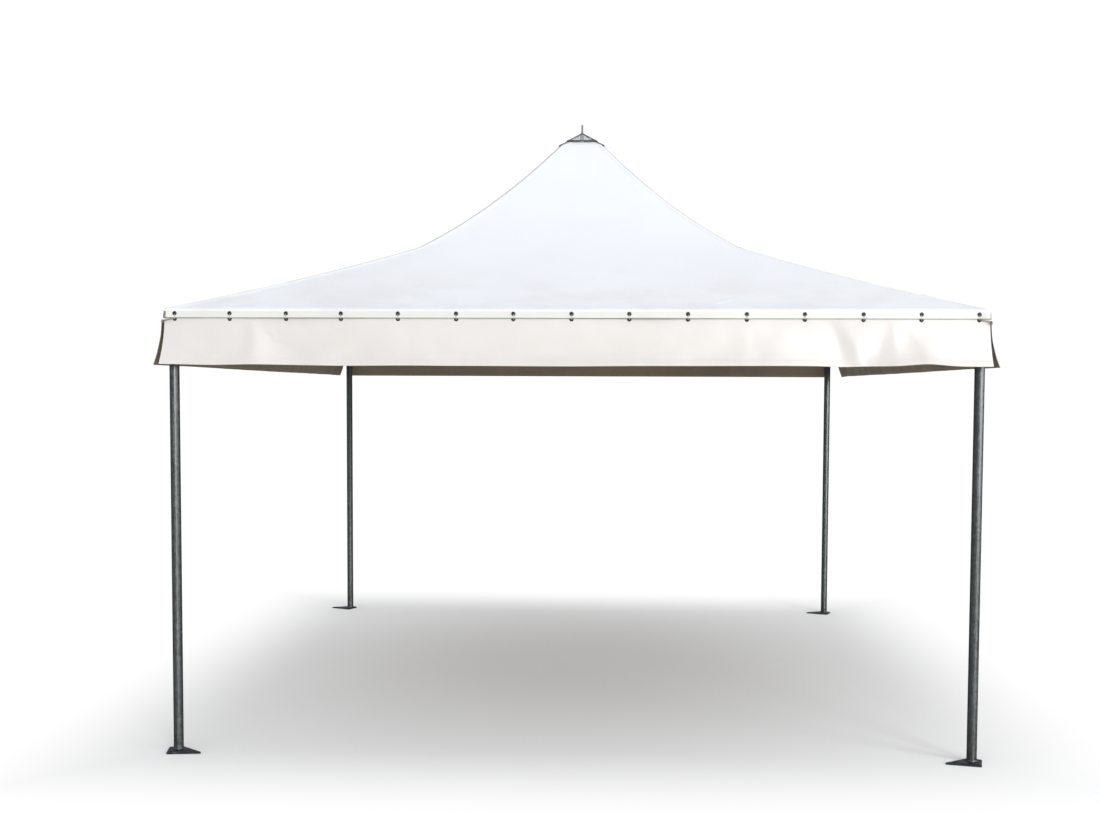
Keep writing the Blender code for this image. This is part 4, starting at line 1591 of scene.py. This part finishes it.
@dataclass
class PeakCap:
    """Four sided metal hood with ribs, dark ridges and arms over the hips."""

    half: float = 0.092
    neck: float = 0.016
    rim_height: float = 0.007
    neck_height: float = 3.462
    top: float = 3.470
    arm_end: float = 0.143
    arm_lift: float = 0.0022
    band_height: float = 0.0135

    @property
    def rim_bottom(self) -> float:
        """Where the rim stands on the roof."""
        return TENT.height(self.half - 0.003) + 0.0003

    def hood(self) -> bpy.types.Object:
        """The sheet metal hood, from a square drawn in towards the neck.

        Returns:
            The hood, with slot 0 on its four faces and slot 1 on its rim and neck.
        """
        deselect_all()
        diagonal = math.sqrt(2)
        bpy.ops.mesh.primitive_circle_add(
            vertices=4, radius=self.half * diagonal, location=(0, 0, self.rim_bottom),
            rotation=(0, 0, math.pi / 4))
        hood = place_in_mesh("hood")
        rise = self.neck_height - self.rim_bottom - self.rim_height
        steps = [(1.0, self.rim_height), (0.55, 0.45 * rise), (self.neck / self.half / 0.55, 0.55 * rise)]
        with editing(hood, Pick.EDGES):
            bpy.ops.mesh.select_all(action="SELECT")
            for scale, rise in steps:
                bpy.ops.mesh.extrude_edges_move()
                bpy.ops.transform.resize(value=(scale, scale, 1), center_override=(0, 0, self.rim_bottom))
                bpy.ops.transform.translate(value=(0, 0, rise))
            bpy.ops.mesh.extrude_edges_move()
            bpy.ops.transform.translate(value=(0, 0, self.top - self.neck_height))
            bpy.ops.mesh.extrude_edges_move()
            bpy.ops.transform.resize(value=(0.45, 0.45, 1), center_override=(0, 0, self.top))
        with editing(hood):
            bpy.ops.mesh.select_all(action="SELECT")
            bpy.ops.mesh.normals_make_consistent(inside=False)
        apply_modifier(hood, "SOLIDIFY", thickness=0.0018, offset=-1.0)
        apply_modifier(hood, "BEVEL", width=0.0009, segments=2, limit_method="ANGLE",
                       angle_limit=math.radians(25))
        low = self.rim_bottom + self.rim_height + 0.001
        high = self.neck_height - 0.004
        for face in hood.data.polygons:
            flat = abs(face.normal.z) > 0.5 and low < face.center.z < high
            face.material_index = 0 if flat else 1
        return hood

    def bar(self, name: str, points: Sequence[Vector], width: float, depth: float,
            slot: int = 1) -> bpy.types.Object:
        """A flat bar with softened edges along points.

        Args:
            name: the object's name.
            points: the points that its middle follows.
            width: across.
            depth: its thickness.
            slot: the number of its material.

        Returns:
            The bar.
        """
        deselect_all()
        bpy.ops.mesh.primitive_plane_add(size=1, location=points[0])
        bar = place_in_mesh(name)
        forward = (points[1] - points[0]).normalized()
        across = forward.cross(Vector((0, 0, 1))).normalized()
        up = across.cross(forward)
        corners = [across * width / 2 * x + up * depth / 2 * y for x, y in ((-1, -1), (1, -1), (1, 1), (-1, 1))]
        order = {(-1, -1): 0, (1, -1): 1, (1, 1): 2, (-1, 1): 3}
        for vert in bar.data.vertices:
            away = vert.co - points[0]
            key = (1 if away.x > 0 else -1, 1 if away.y > 0 else -1)
            vert.co = points[0] + corners[order[key]]
        with editing(bar):
            bpy.ops.mesh.select_all(action="SELECT")
            for first, second in zip(points, points[1:]):
                bpy.ops.mesh.extrude_region_move()
                bpy.ops.transform.translate(value=second - first)
            bpy.ops.mesh.select_all(action="SELECT")
            bpy.ops.mesh.normals_make_consistent(inside=False)
        with editing(bar):
            pass
        apply_modifier(bar, "BEVEL", width=min(width, depth) * 0.28, segments=2, limit_method="ANGLE",
                       angle_limit=math.radians(40))
        for face in bar.data.polygons:
            face.material_index = slot
        return bar

    def ridge_points(self) -> list[Vector]:
        """The front left ridge, from the neck down over the hip."""
        rim = self.rim_bottom + self.rim_height
        points = [
            Vector((-self.neck, -self.neck, self.neck_height + 0.0005)),
            Vector((-self.half, -self.half, rim + 0.0005))]
        for offset in (0.104, 0.118, 0.128, TENT.shoulder_offset, self.arm_end):
            points.append(Vector((-offset, -offset, TENT.height(offset) + self.arm_lift)))
        return points

    def build(self, finishes: Finishes) -> bpy.types.Object:
        """The whole cap: hood, ridges with arms, and a rib on each face.

        Args:
            finishes: all finishes.

        Returns:
            The cap.
        """
        pieces = [self.hood()]
        ridge = self.bar("ridge", self.ridge_points(), 0.0125, 0.0044)
        rim = self.rim_bottom + self.rim_height
        rib = self.bar("rib", [
            Vector((0, -self.neck, self.neck_height + 0.0005)),
            Vector((0, -self.half, rim + 0.0012)),
            Vector((0, -self.half - 0.0022, self.rim_bottom + 0.001))], 0.020, 0.0036, 2)
        middle = self.rim_bottom + self.band_height / 2
        band = self.bar("band", [
            Vector((-self.half - 0.001, -self.half - 0.0006, middle)),
            Vector((self.half + 0.001, -self.half - 0.0006, middle))], 0.0030, self.band_height)
        for side in Side:
            for part in (ridge, rib, band):
                pieces.append(copied(part, f"{part.name}_{side.label}", side.turn))
        for part in (ridge, rib, band):
            remove(part)
        for piece in pieces:
            for material in (finishes.cap_face, finishes.cap, finishes.cap_rib):
                piece.data.materials.append(material)
        return joined(pieces, "peak_cap_hood")

    def dress(self, cap: bpy.types.Object) -> None:
        """Shade the cap and tie it to the frame.

        Args:
            cap: the cap.
        """
        smooth(cap, 30)
        finish(cap, Slot.DARK, replaces=["peak_cap"])


@dataclass
class Finial:
    """The pin on the peak with its nut and washer."""

    radius: float = 0.006
    bottom: float = 3.3693
    top: float = 3.530

    def build(self) -> bpy.types.Object:
        """A turned pin with a domed tip, a thread over the cap, a small hexagon nut and a washer.

        Returns:
            The pin.
        """
        deselect_all()
        bpy.ops.mesh.primitive_cylinder_add(
            vertices=24, radius=self.radius, depth=self.top - self.bottom,
            location=(0, 0, (self.top + self.bottom) / 2))
        pin = place_in_mesh("pin")
        with editing(pin, Pick.EDGES):
            pick(lambda centre, way: centre.z > self.top - 1e-4 and abs(way.z) < 0.1, Pick.EDGES)
            bpy.ops.mesh.bevel(offset=0.0048, segments=5, affect="EDGES")
        pieces = [pin]
        thread = []
        for index in range(8 * 12 + 1):
            angle = index / 12 * 2 * math.pi
            height = self.top - 0.060 + index / 12 * 0.0019
            thread.append(Vector((self.radius * math.cos(angle), self.radius * math.sin(angle), height)))
        pieces.append(corded("thread", thread, 0.0006, sides=0, steps=1, soft=False))
        deselect_all()
        seat = self.top - 0.060
        bpy.ops.mesh.primitive_cylinder_add(vertices=6, radius=0.0094, depth=0.0060, location=(0, 0, seat + 0.0046))
        nut = place_in_mesh("nut")
        apply_modifier(nut, "BEVEL", width=0.0012, segments=2, limit_method="ANGLE")
        deselect_all()
        bpy.ops.mesh.primitive_cylinder_add(vertices=28, radius=0.0125, depth=0.0018, location=(0, 0, seat + 0.0009))
        washer = place_in_mesh("washer")
        apply_modifier(washer, "BEVEL", width=0.0005, segments=2, limit_method="ANGLE")
        pieces += [nut, washer]
        return joined(pieces, "finial_pin_turned")


# Fittings of the frame


@dataclass
class Fittings:
    """Bolts and weld beads on the frame's joints and feet."""

    bolt_radius: float = 0.0065
    bead_radius: float = 0.0032

    def bolt(self) -> bpy.types.Object:
        """A hexagon bolt head on its washer, facing up from the origin.

        Returns:
            The bolt head.
        """
        deselect_all()
        bpy.ops.mesh.primitive_cylinder_add(vertices=6, radius=self.bolt_radius, depth=0.0055, location=(0, 0, 0.0042))
        head = place_in_mesh("head")
        with editing(head):
            pick(lambda centre, normal: normal.z > 0.9)
            bpy.ops.mesh.inset(thickness=0.0012)
            bpy.ops.transform.translate(value=(0, 0, 0.0005))
        apply_modifier(head, "BEVEL", width=0.0005, segments=2, limit_method="ANGLE")
        deselect_all()
        bpy.ops.mesh.primitive_cylinder_add(vertices=20, radius=self.bolt_radius * 1.45, depth=0.0018,
                                            location=(0, 0, 0.0008))
        washer = place_in_mesh("washer")
        apply_modifier(washer, "BEVEL", width=0.0004, segments=1, limit_method="ANGLE")
        bolt = joined([head, washer], "bolt")
        smooth(bolt, 25)
        return bolt

    def bead(self, name: str, centre: Vector, axis: Vector, radius: float) -> bpy.types.Object:
        """A rippled weld bead round a tube.

        Args:
            name: the object's name.
            centre: the middle of the ring.
            axis: the tube's direction.
            radius: the ring's radius.

        Returns:
            The bead.
        """
        deselect_all()
        turn = axis.to_track_quat("Z", "Y").to_euler()
        bpy.ops.mesh.primitive_torus_add(
            major_radius=radius, minor_radius=self.bead_radius, major_segments=56, minor_segments=8,
            location=centre, rotation=turn)
        bead = place_in_mesh(name)
        for vert in bead.data.vertices:
            away = vert.co - centre
            flat = away - axis * away.dot(axis)
            side = axis.orthogonal().normalized()
            angle = math.atan2(flat.dot(axis.cross(side)), flat.dot(side))
            core = centre + flat.normalized() * radius
            swell = 1 + 0.20 * math.sin(angle * 26) + 0.10 * noise.noise(vert.co * 300)
            vert.co = core + (vert.co - core) * swell
        smooth(bead, 80)
        return bead

    def joint_bolts(self, bolt: bpy.types.Object) -> bpy.types.Object:
        """The bolts of the front left corner joint.

        Args:
            bolt: the bolt to copy.

        Returns:
            The bolts as one object.
        """
        corner = Vector((-TENT.leg_offset, -TENT.leg_offset, 0))
        level = Vector((0, 0, TENT.frame_height))
        inner = Vector((1, 1, 0)).normalized()
        foot = corner + level
        rafter = (TENT.hip_point(1.84, RAFTER_DEPTH) - foot).normalized()
        under = (Vector((0, 0, -1)) - rafter * rafter.dot(Vector((0, 0, -1)))).normalized()
        spots = [
            (corner + Vector((0, 0, 2.085)) + inner * 0.0272, inner),
            (foot + Vector((0.100, 0, -0.0232)), Vector((0, 0, -1))),
            (foot + Vector((0, 0.100, -0.0232)), Vector((0, 0, -1))),
            (foot + rafter * 0.125 + under * 0.0202, under),
        ]
        return self.placed(bolt, spots, "joint_bolts")

    def rafter_bolts(self, bolt: bpy.types.Object) -> bpy.types.Object:
        """The bolts of the front left knee sleeve and crown socket.

        Args:
            bolt: the bolt to copy.

        Returns:
            The bolts as one object.
        """
        spots = []
        knee = TENT.hip_point(TENT.knee_offset, RAFTER_DEPTH)
        for offset in (TENT.knee_offset + 0.085, TENT.knee_offset - 0.085):
            way = (TENT.hip_point(offset, RAFTER_DEPTH) - knee).normalized()
            under = (Vector((0, 0, -1)) - way * way.dot(Vector((0, 0, -1)))).normalized()
            spots.append((knee + way * 0.050 + under * 0.0202, under))
        outer, inner = TENT.hip_point(0.32, RAFTER_DEPTH), TENT.hip_point(0.19, RAFTER_DEPTH)
        way = (inner - outer).normalized()
        under = (Vector((0, 0, -1)) - way * way.dot(Vector((0, 0, -1)))).normalized()
        spots.append((outer + way * 0.080 + under * 0.0202, under))
        return self.placed(bolt, spots, "rafter_bolts")

    @staticmethod
    def placed(bolt: bpy.types.Object, spots: Sequence[tuple[Vector, Vector]], name: str) -> bpy.types.Object:
        """Copies of a bolt at places, each square to its direction.

        Args:
            bolt: the bolt.
            spots: places and directions.
            name: the name of the joined copies.

        Returns:
            The bolts as one object.
        """
        bolts = []
        for index, (spot, way) in enumerate(spots):
            turn = way.to_track_quat("Z", "Y").to_matrix().to_4x4()
            bolts.append(copied(bolt, f"{name}_{index}", Matrix.Translation(spot) @ turn))
        return joined(bolts, name)

    def joint_beads(self) -> bpy.types.Object:
        """The weld beads of the front left corner joint.

        Returns:
            The beads as one object.
        """
        foot = Vector((-TENT.leg_offset, -TENT.leg_offset, TENT.frame_height))
        rafter = (TENT.hip_point(1.84, RAFTER_DEPTH) - foot).normalized()
        beads = [
            self.bead("bead_x", foot + Vector((0.0270, 0, 0)), Vector((1, 0, 0)), 0.0236),
            self.bead("bead_y", foot + Vector((0, 0.0270, 0)), Vector((0, 1, 0)), 0.0236),
            self.bead("bead_rafter", foot + rafter * 0.058, rafter, 0.0206),
        ]
        return joined(beads, "joint_beads")

    def foot_bead(self) -> bpy.types.Object:
        """The weld bead round the foot of the front left leg."""
        centre = Vector((-TENT.leg_offset, -TENT.leg_offset, TENT.plate_top + 0.0008))
        return self.bead("foot_bead", centre, Vector((0, 0, 1)), TENT.leg_radius + 0.0005)


# Studio


@dataclass(frozen=True)
class Studio:
    """Floor, light and camera; the camera stands where the photograph was taken from."""

    place: tuple[float, float, float] = (0.1748, -7.6845, 1.7829)
    pitch: float = -2.750
    yaw: float = 2.1285
    roll: float = 0.2436
    focal_px: float = 1172.2
    shift_px: tuple[float, float] = (13.85, 39.1)
    width_px: float = 1100.0
    sensor: float = 36.0
    horizon: float = 0.46
    zenith: float = 0.98
    key: float = 0.36
    key_spread: float = 18.0
    side_watts: float = 85.0
    key_turn: float = 30.0
    key_height: float = 17.0
    mirror_low: float = 0.26
    mirror_high: float = 0.90
    window_light: float = 10.5
    window_turn: float = 27.0
    window_half: float = 19.5
    window_soft: float = 14.0

    def camera(self) -> None:
        """Set up the camera."""
        data = bpy.data.cameras.new("view")
        data.sensor_width = self.sensor
        data.sensor_fit = "HORIZONTAL"
        data.lens = self.focal_px * self.sensor / self.width_px
        data.shift_x = -self.shift_px[0] / self.width_px
        data.shift_y = self.shift_px[1] / self.width_px
        data.clip_end = 300
        camera = bpy.data.objects.new("view", data)
        camera.matrix_world = (
            Matrix.Translation(self.place) @ Matrix.Rotation(math.radians(self.yaw), 4, "Z")
            @ Matrix.Rotation(math.pi / 2 + math.radians(self.pitch), 4, "X")
            @ Matrix.Rotation(math.radians(self.roll), 4, "Z"))
        bpy.context.scene.collection.objects.link(camera)
        bpy.context.scene.camera = camera

    @staticmethod
    def area(name: str, place: Sequence[float], target: Sequence[float], size: tuple[float, float],
             power: float) -> None:
        """Add a soft box.

        Args:
            name: the light's name.
            place: where it stands.
            target: what it points at.
            size: its width and height.
            power: in watts.
        """
        light = bpy.data.lights.new(name, "AREA")
        light.shape = "RECTANGLE"
        light.size, light.size_y = size
        light.energy = power
        lamp = bpy.data.objects.new(name, light)
        away = Vector(place) - Vector(target)
        lamp.matrix_world = Matrix.Translation(place) @ away.to_track_quat("Z", "Y").to_matrix().to_4x4()
        bpy.context.scene.collection.objects.link(lamp)

    def mirrored(self, tree: Tree, way: bpy.types.NodeSocket) -> bpy.types.NodeSocket:
        """What metal mirrors: a dim surround with one tall soft window to the right of the camera.

        Args:
            tree: the world's tree.
            way: the direction that is looked in.

        Returns:
            The light from there.
        """
        parts = tree.add("SeparateXYZ", {0: way}).outputs
        bearing = tree.math("ARCTAN2", parts[0], tree.math("MULTIPLY", parts[1], -1.0))
        off = tree.math("ABSOLUTE", tree.math("SUBTRACT", bearing, math.radians(self.window_turn)))
        across = tree.ramp(off, math.radians(self.window_half),
                           math.radians(self.window_half - self.window_soft))
        up = tree.math("MULTIPLY", tree.ramp(parts[2], -0.02, 0.10), tree.ramp(parts[2], 0.72, 0.45))
        window = tree.math("MULTIPLY", tree.math("MULTIPLY", across, up), self.window_light)
        surround = tree.ramp(parts[2], 0.0, 0.9, self.mirror_low, self.mirror_high)
        return tree.math("ADD", surround, window)

    def light(self) -> None:
        """Set up the world and the soft boxes."""
        world = bpy.data.worlds.new("studio")
        world.use_nodes = True
        tree = Tree(world.node_tree)
        path = tree.add("LightPath")
        way = tree.add("TexCoord").outputs["Generated"]
        rise = tree.add("SeparateXYZ", {0: way}).outputs[2]
        sky = tree.ramp(rise, 0.0, 0.9)
        low, high = (self.horizon,) * 3, (self.zenith * 0.975, self.zenith * 0.99, self.zenith * 1.01)
        glow = tree.mix(sky, (*low, 1), (*high, 1))
        lit = tree.mix(path.outputs["Is Glossy Ray"], glow, self.mirrored(tree, way))
        shown = tree.mix(path.outputs["Is Camera Ray"], lit, (1.02, 1.02, 1.02, 1))
        background = world.node_tree.nodes["Background"]
        world.node_tree.links.new(shown, background.inputs["Color"])
        background.inputs["Strength"].default_value = 1.0
        bpy.context.scene.world = world
        sun = bpy.data.lights.new("key", "SUN")
        sun.energy = self.key * math.pi
        sun.angle = math.radians(self.key_spread)
        lamp = bpy.data.objects.new("key", sun)
        lamp.matrix_world = (
            Matrix.Rotation(math.radians(self.key_turn), 4, "Z")
            @ Matrix.Rotation(math.radians(90 - self.key_height), 4, "X"))
        bpy.context.scene.collection.objects.link(lamp)
        self.area("side", (5.6, -4.6, 2.3), (1.4, -2.0, 2.0), (1.4, 1.4), self.side_watts)

    @staticmethod
    def floor(finishes: Finishes) -> None:
        """Lay the floor.

        Args:
            finishes: all finishes.
        """
        deselect_all()
        bpy.ops.mesh.primitive_circle_add(vertices=96, radius=60, fill_type="NGON", location=(0, 0, 0))
        floor = place_in_mesh("floor")
        floor.data.materials.append(finishes.floor)


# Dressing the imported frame


def dress_frame(finishes: Finishes) -> None:
    """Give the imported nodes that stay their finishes.

    Args:
        finishes: all finishes.
    """
    kinds = {
        "foot_plate": finishes.plate, "leg": finishes.zinc, "eave_tube": finishes.zinc,
        "hip_rafter_lower": finishes.zinc, "hip_rafter_upper": finishes.zinc,
        "corner_joint": finishes.joint, "knee_sleeve": finishes.joint, "crown_plate": finishes.joint,
    }
    for name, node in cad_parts.items():
        for kind, material in kinds.items():
            if name.startswith(kind):
                for slot in node.material_slots:
                    slot.material = material
                LOG.info("%s keeps its shape and wears %s", name, material.name)


def build_cloth(finishes: Finishes) -> None:
    """Build the canopy, the valances, their eyelets and their lacing.

    Args:
        finishes: all finishes.
    """
    canopy_maker = Canopy()
    canopy = canopy_maker.build(finishes)
    canopy_maker.dress(canopy)
    face = TENT.valance_face
    droop = (Flute(-1.75, 0.12, -0.0035), Flute(-1.12, 0.26, -0.0052), Flute(-0.62, 0.32, -0.0036),
             Flute(-0.06, 0.36, -0.0052), Flute(0.55, 0.26, -0.0014), Flute(1.30, 0.09, -0.0034),
             Flute(1.69, 0.10, 0.010), Flute(1.93, 0.10, -0.0008))
    valances, makers = {}, {}
    lower_holes = eyelet_cutters(LOWER_EYELET, TENT.valance_face)
    for side in Side:
        front = side is Side.FRONT
        half = face if side in (Side.FRONT, Side.BACK) else face - 0.0033
        front_end, stand_off, back_off = {
            Side.LEFT: (1.0, 0.017, 0.006), Side.RIGHT: (-1.0, 0.008, 0.044)}.get(side, (0.0, 0.0, 0.0))
        drawn_up = (Flute(0.0, 9.0, 0.012),) if side is Side.BACK else (
            Flute(-2.0 * front_end, 1.9, 0.012), Flute(2.0 * front_end, 0.35, -0.003))
        maker = Valance(side, half, FRONT_FLUTES if front else seeded_flutes(90 + side.value),
                        droop if front else drawn_up, front_end, stand_off, back_off,
                        splay=(0.014, 0.007) if front else (0.0, 0.0),
                        rumple=0.0012 if front else 0.0028, creases=PUCKERS if front else ())
        cloth = maker.build(finishes)
        apply_modifier(cloth, "BOOLEAN", object=lower_holes, operation="DIFFERENCE", solver="EXACT")
        maker.dress(cloth)
        valances[side], makers[side] = cloth, maker
    remove(lower_holes)
    eyelets, lacing = Eyelets(), Lacing()
    ring = eyelets.ring(finishes)
    for side in Side:
        rings = eyelets.build(side, ring, makers[side])
        smooth(rings, 30)
        finish(rings, Slot.TUBE)
        cord = lacing.build(side)
        smooth(cord, 60)
        finish(cord, Slot.VALANCE, [finishes.cord])
    remove(ring)
    for quarter, corner in enumerate(("front_right", "back_right", "back_left", "front_left")):
        tie = CornerTie().build()
        tie.name = tie.data.name = f"corner_tie_{corner}"
        tie.data.transform(Matrix.Rotation(quarter * math.pi / 2, 4, "Z"))
        smooth(tie, 60)
        finish(tie, Slot.VALANCE, [finishes.tie])


def build_fittings(finishes: Finishes) -> None:
    """Build the bolts and weld beads at the four corners.

    Args:
        finishes: all finishes.
    """
    fittings = Fittings()
    bolt = fittings.bolt()
    for maker, stem, material in (
            (lambda: fittings.joint_bolts(bolt), "joint_bolts", finishes.bolt),
            (lambda: fittings.rafter_bolts(bolt), "rafter_bolts", finishes.bolt),
            (fittings.joint_beads, "joint_beads", finishes.weld),
            (fittings.foot_bead, "foot_bead", finishes.weld)):
        for piece in turned_copies(maker(), stem):
            finish(piece, Slot.TUBE, [material])
    remove(bolt)


def main() -> None:
    """Build the tent and its studio in order."""
    logging.basicConfig(level=logging.INFO, format="%(message)s")
    bpy.context.scene.view_settings.view_transform = "Standard"
    finishes = Finishes()
    studio = Studio()
    studio.camera()
    studio.light()
    studio.floor(finishes)
    dress_frame(finishes)
    build_cloth(finishes)
    cap = PeakCap()
    cap.dress(cap.build(finishes))
    pin = Finial().build()
    smooth(pin, 30)
    finish(pin, Slot.DARK, [finishes.pin], ["finial_pin"])
    build_fittings(finishes)


if __name__ == "__main__":
    main()
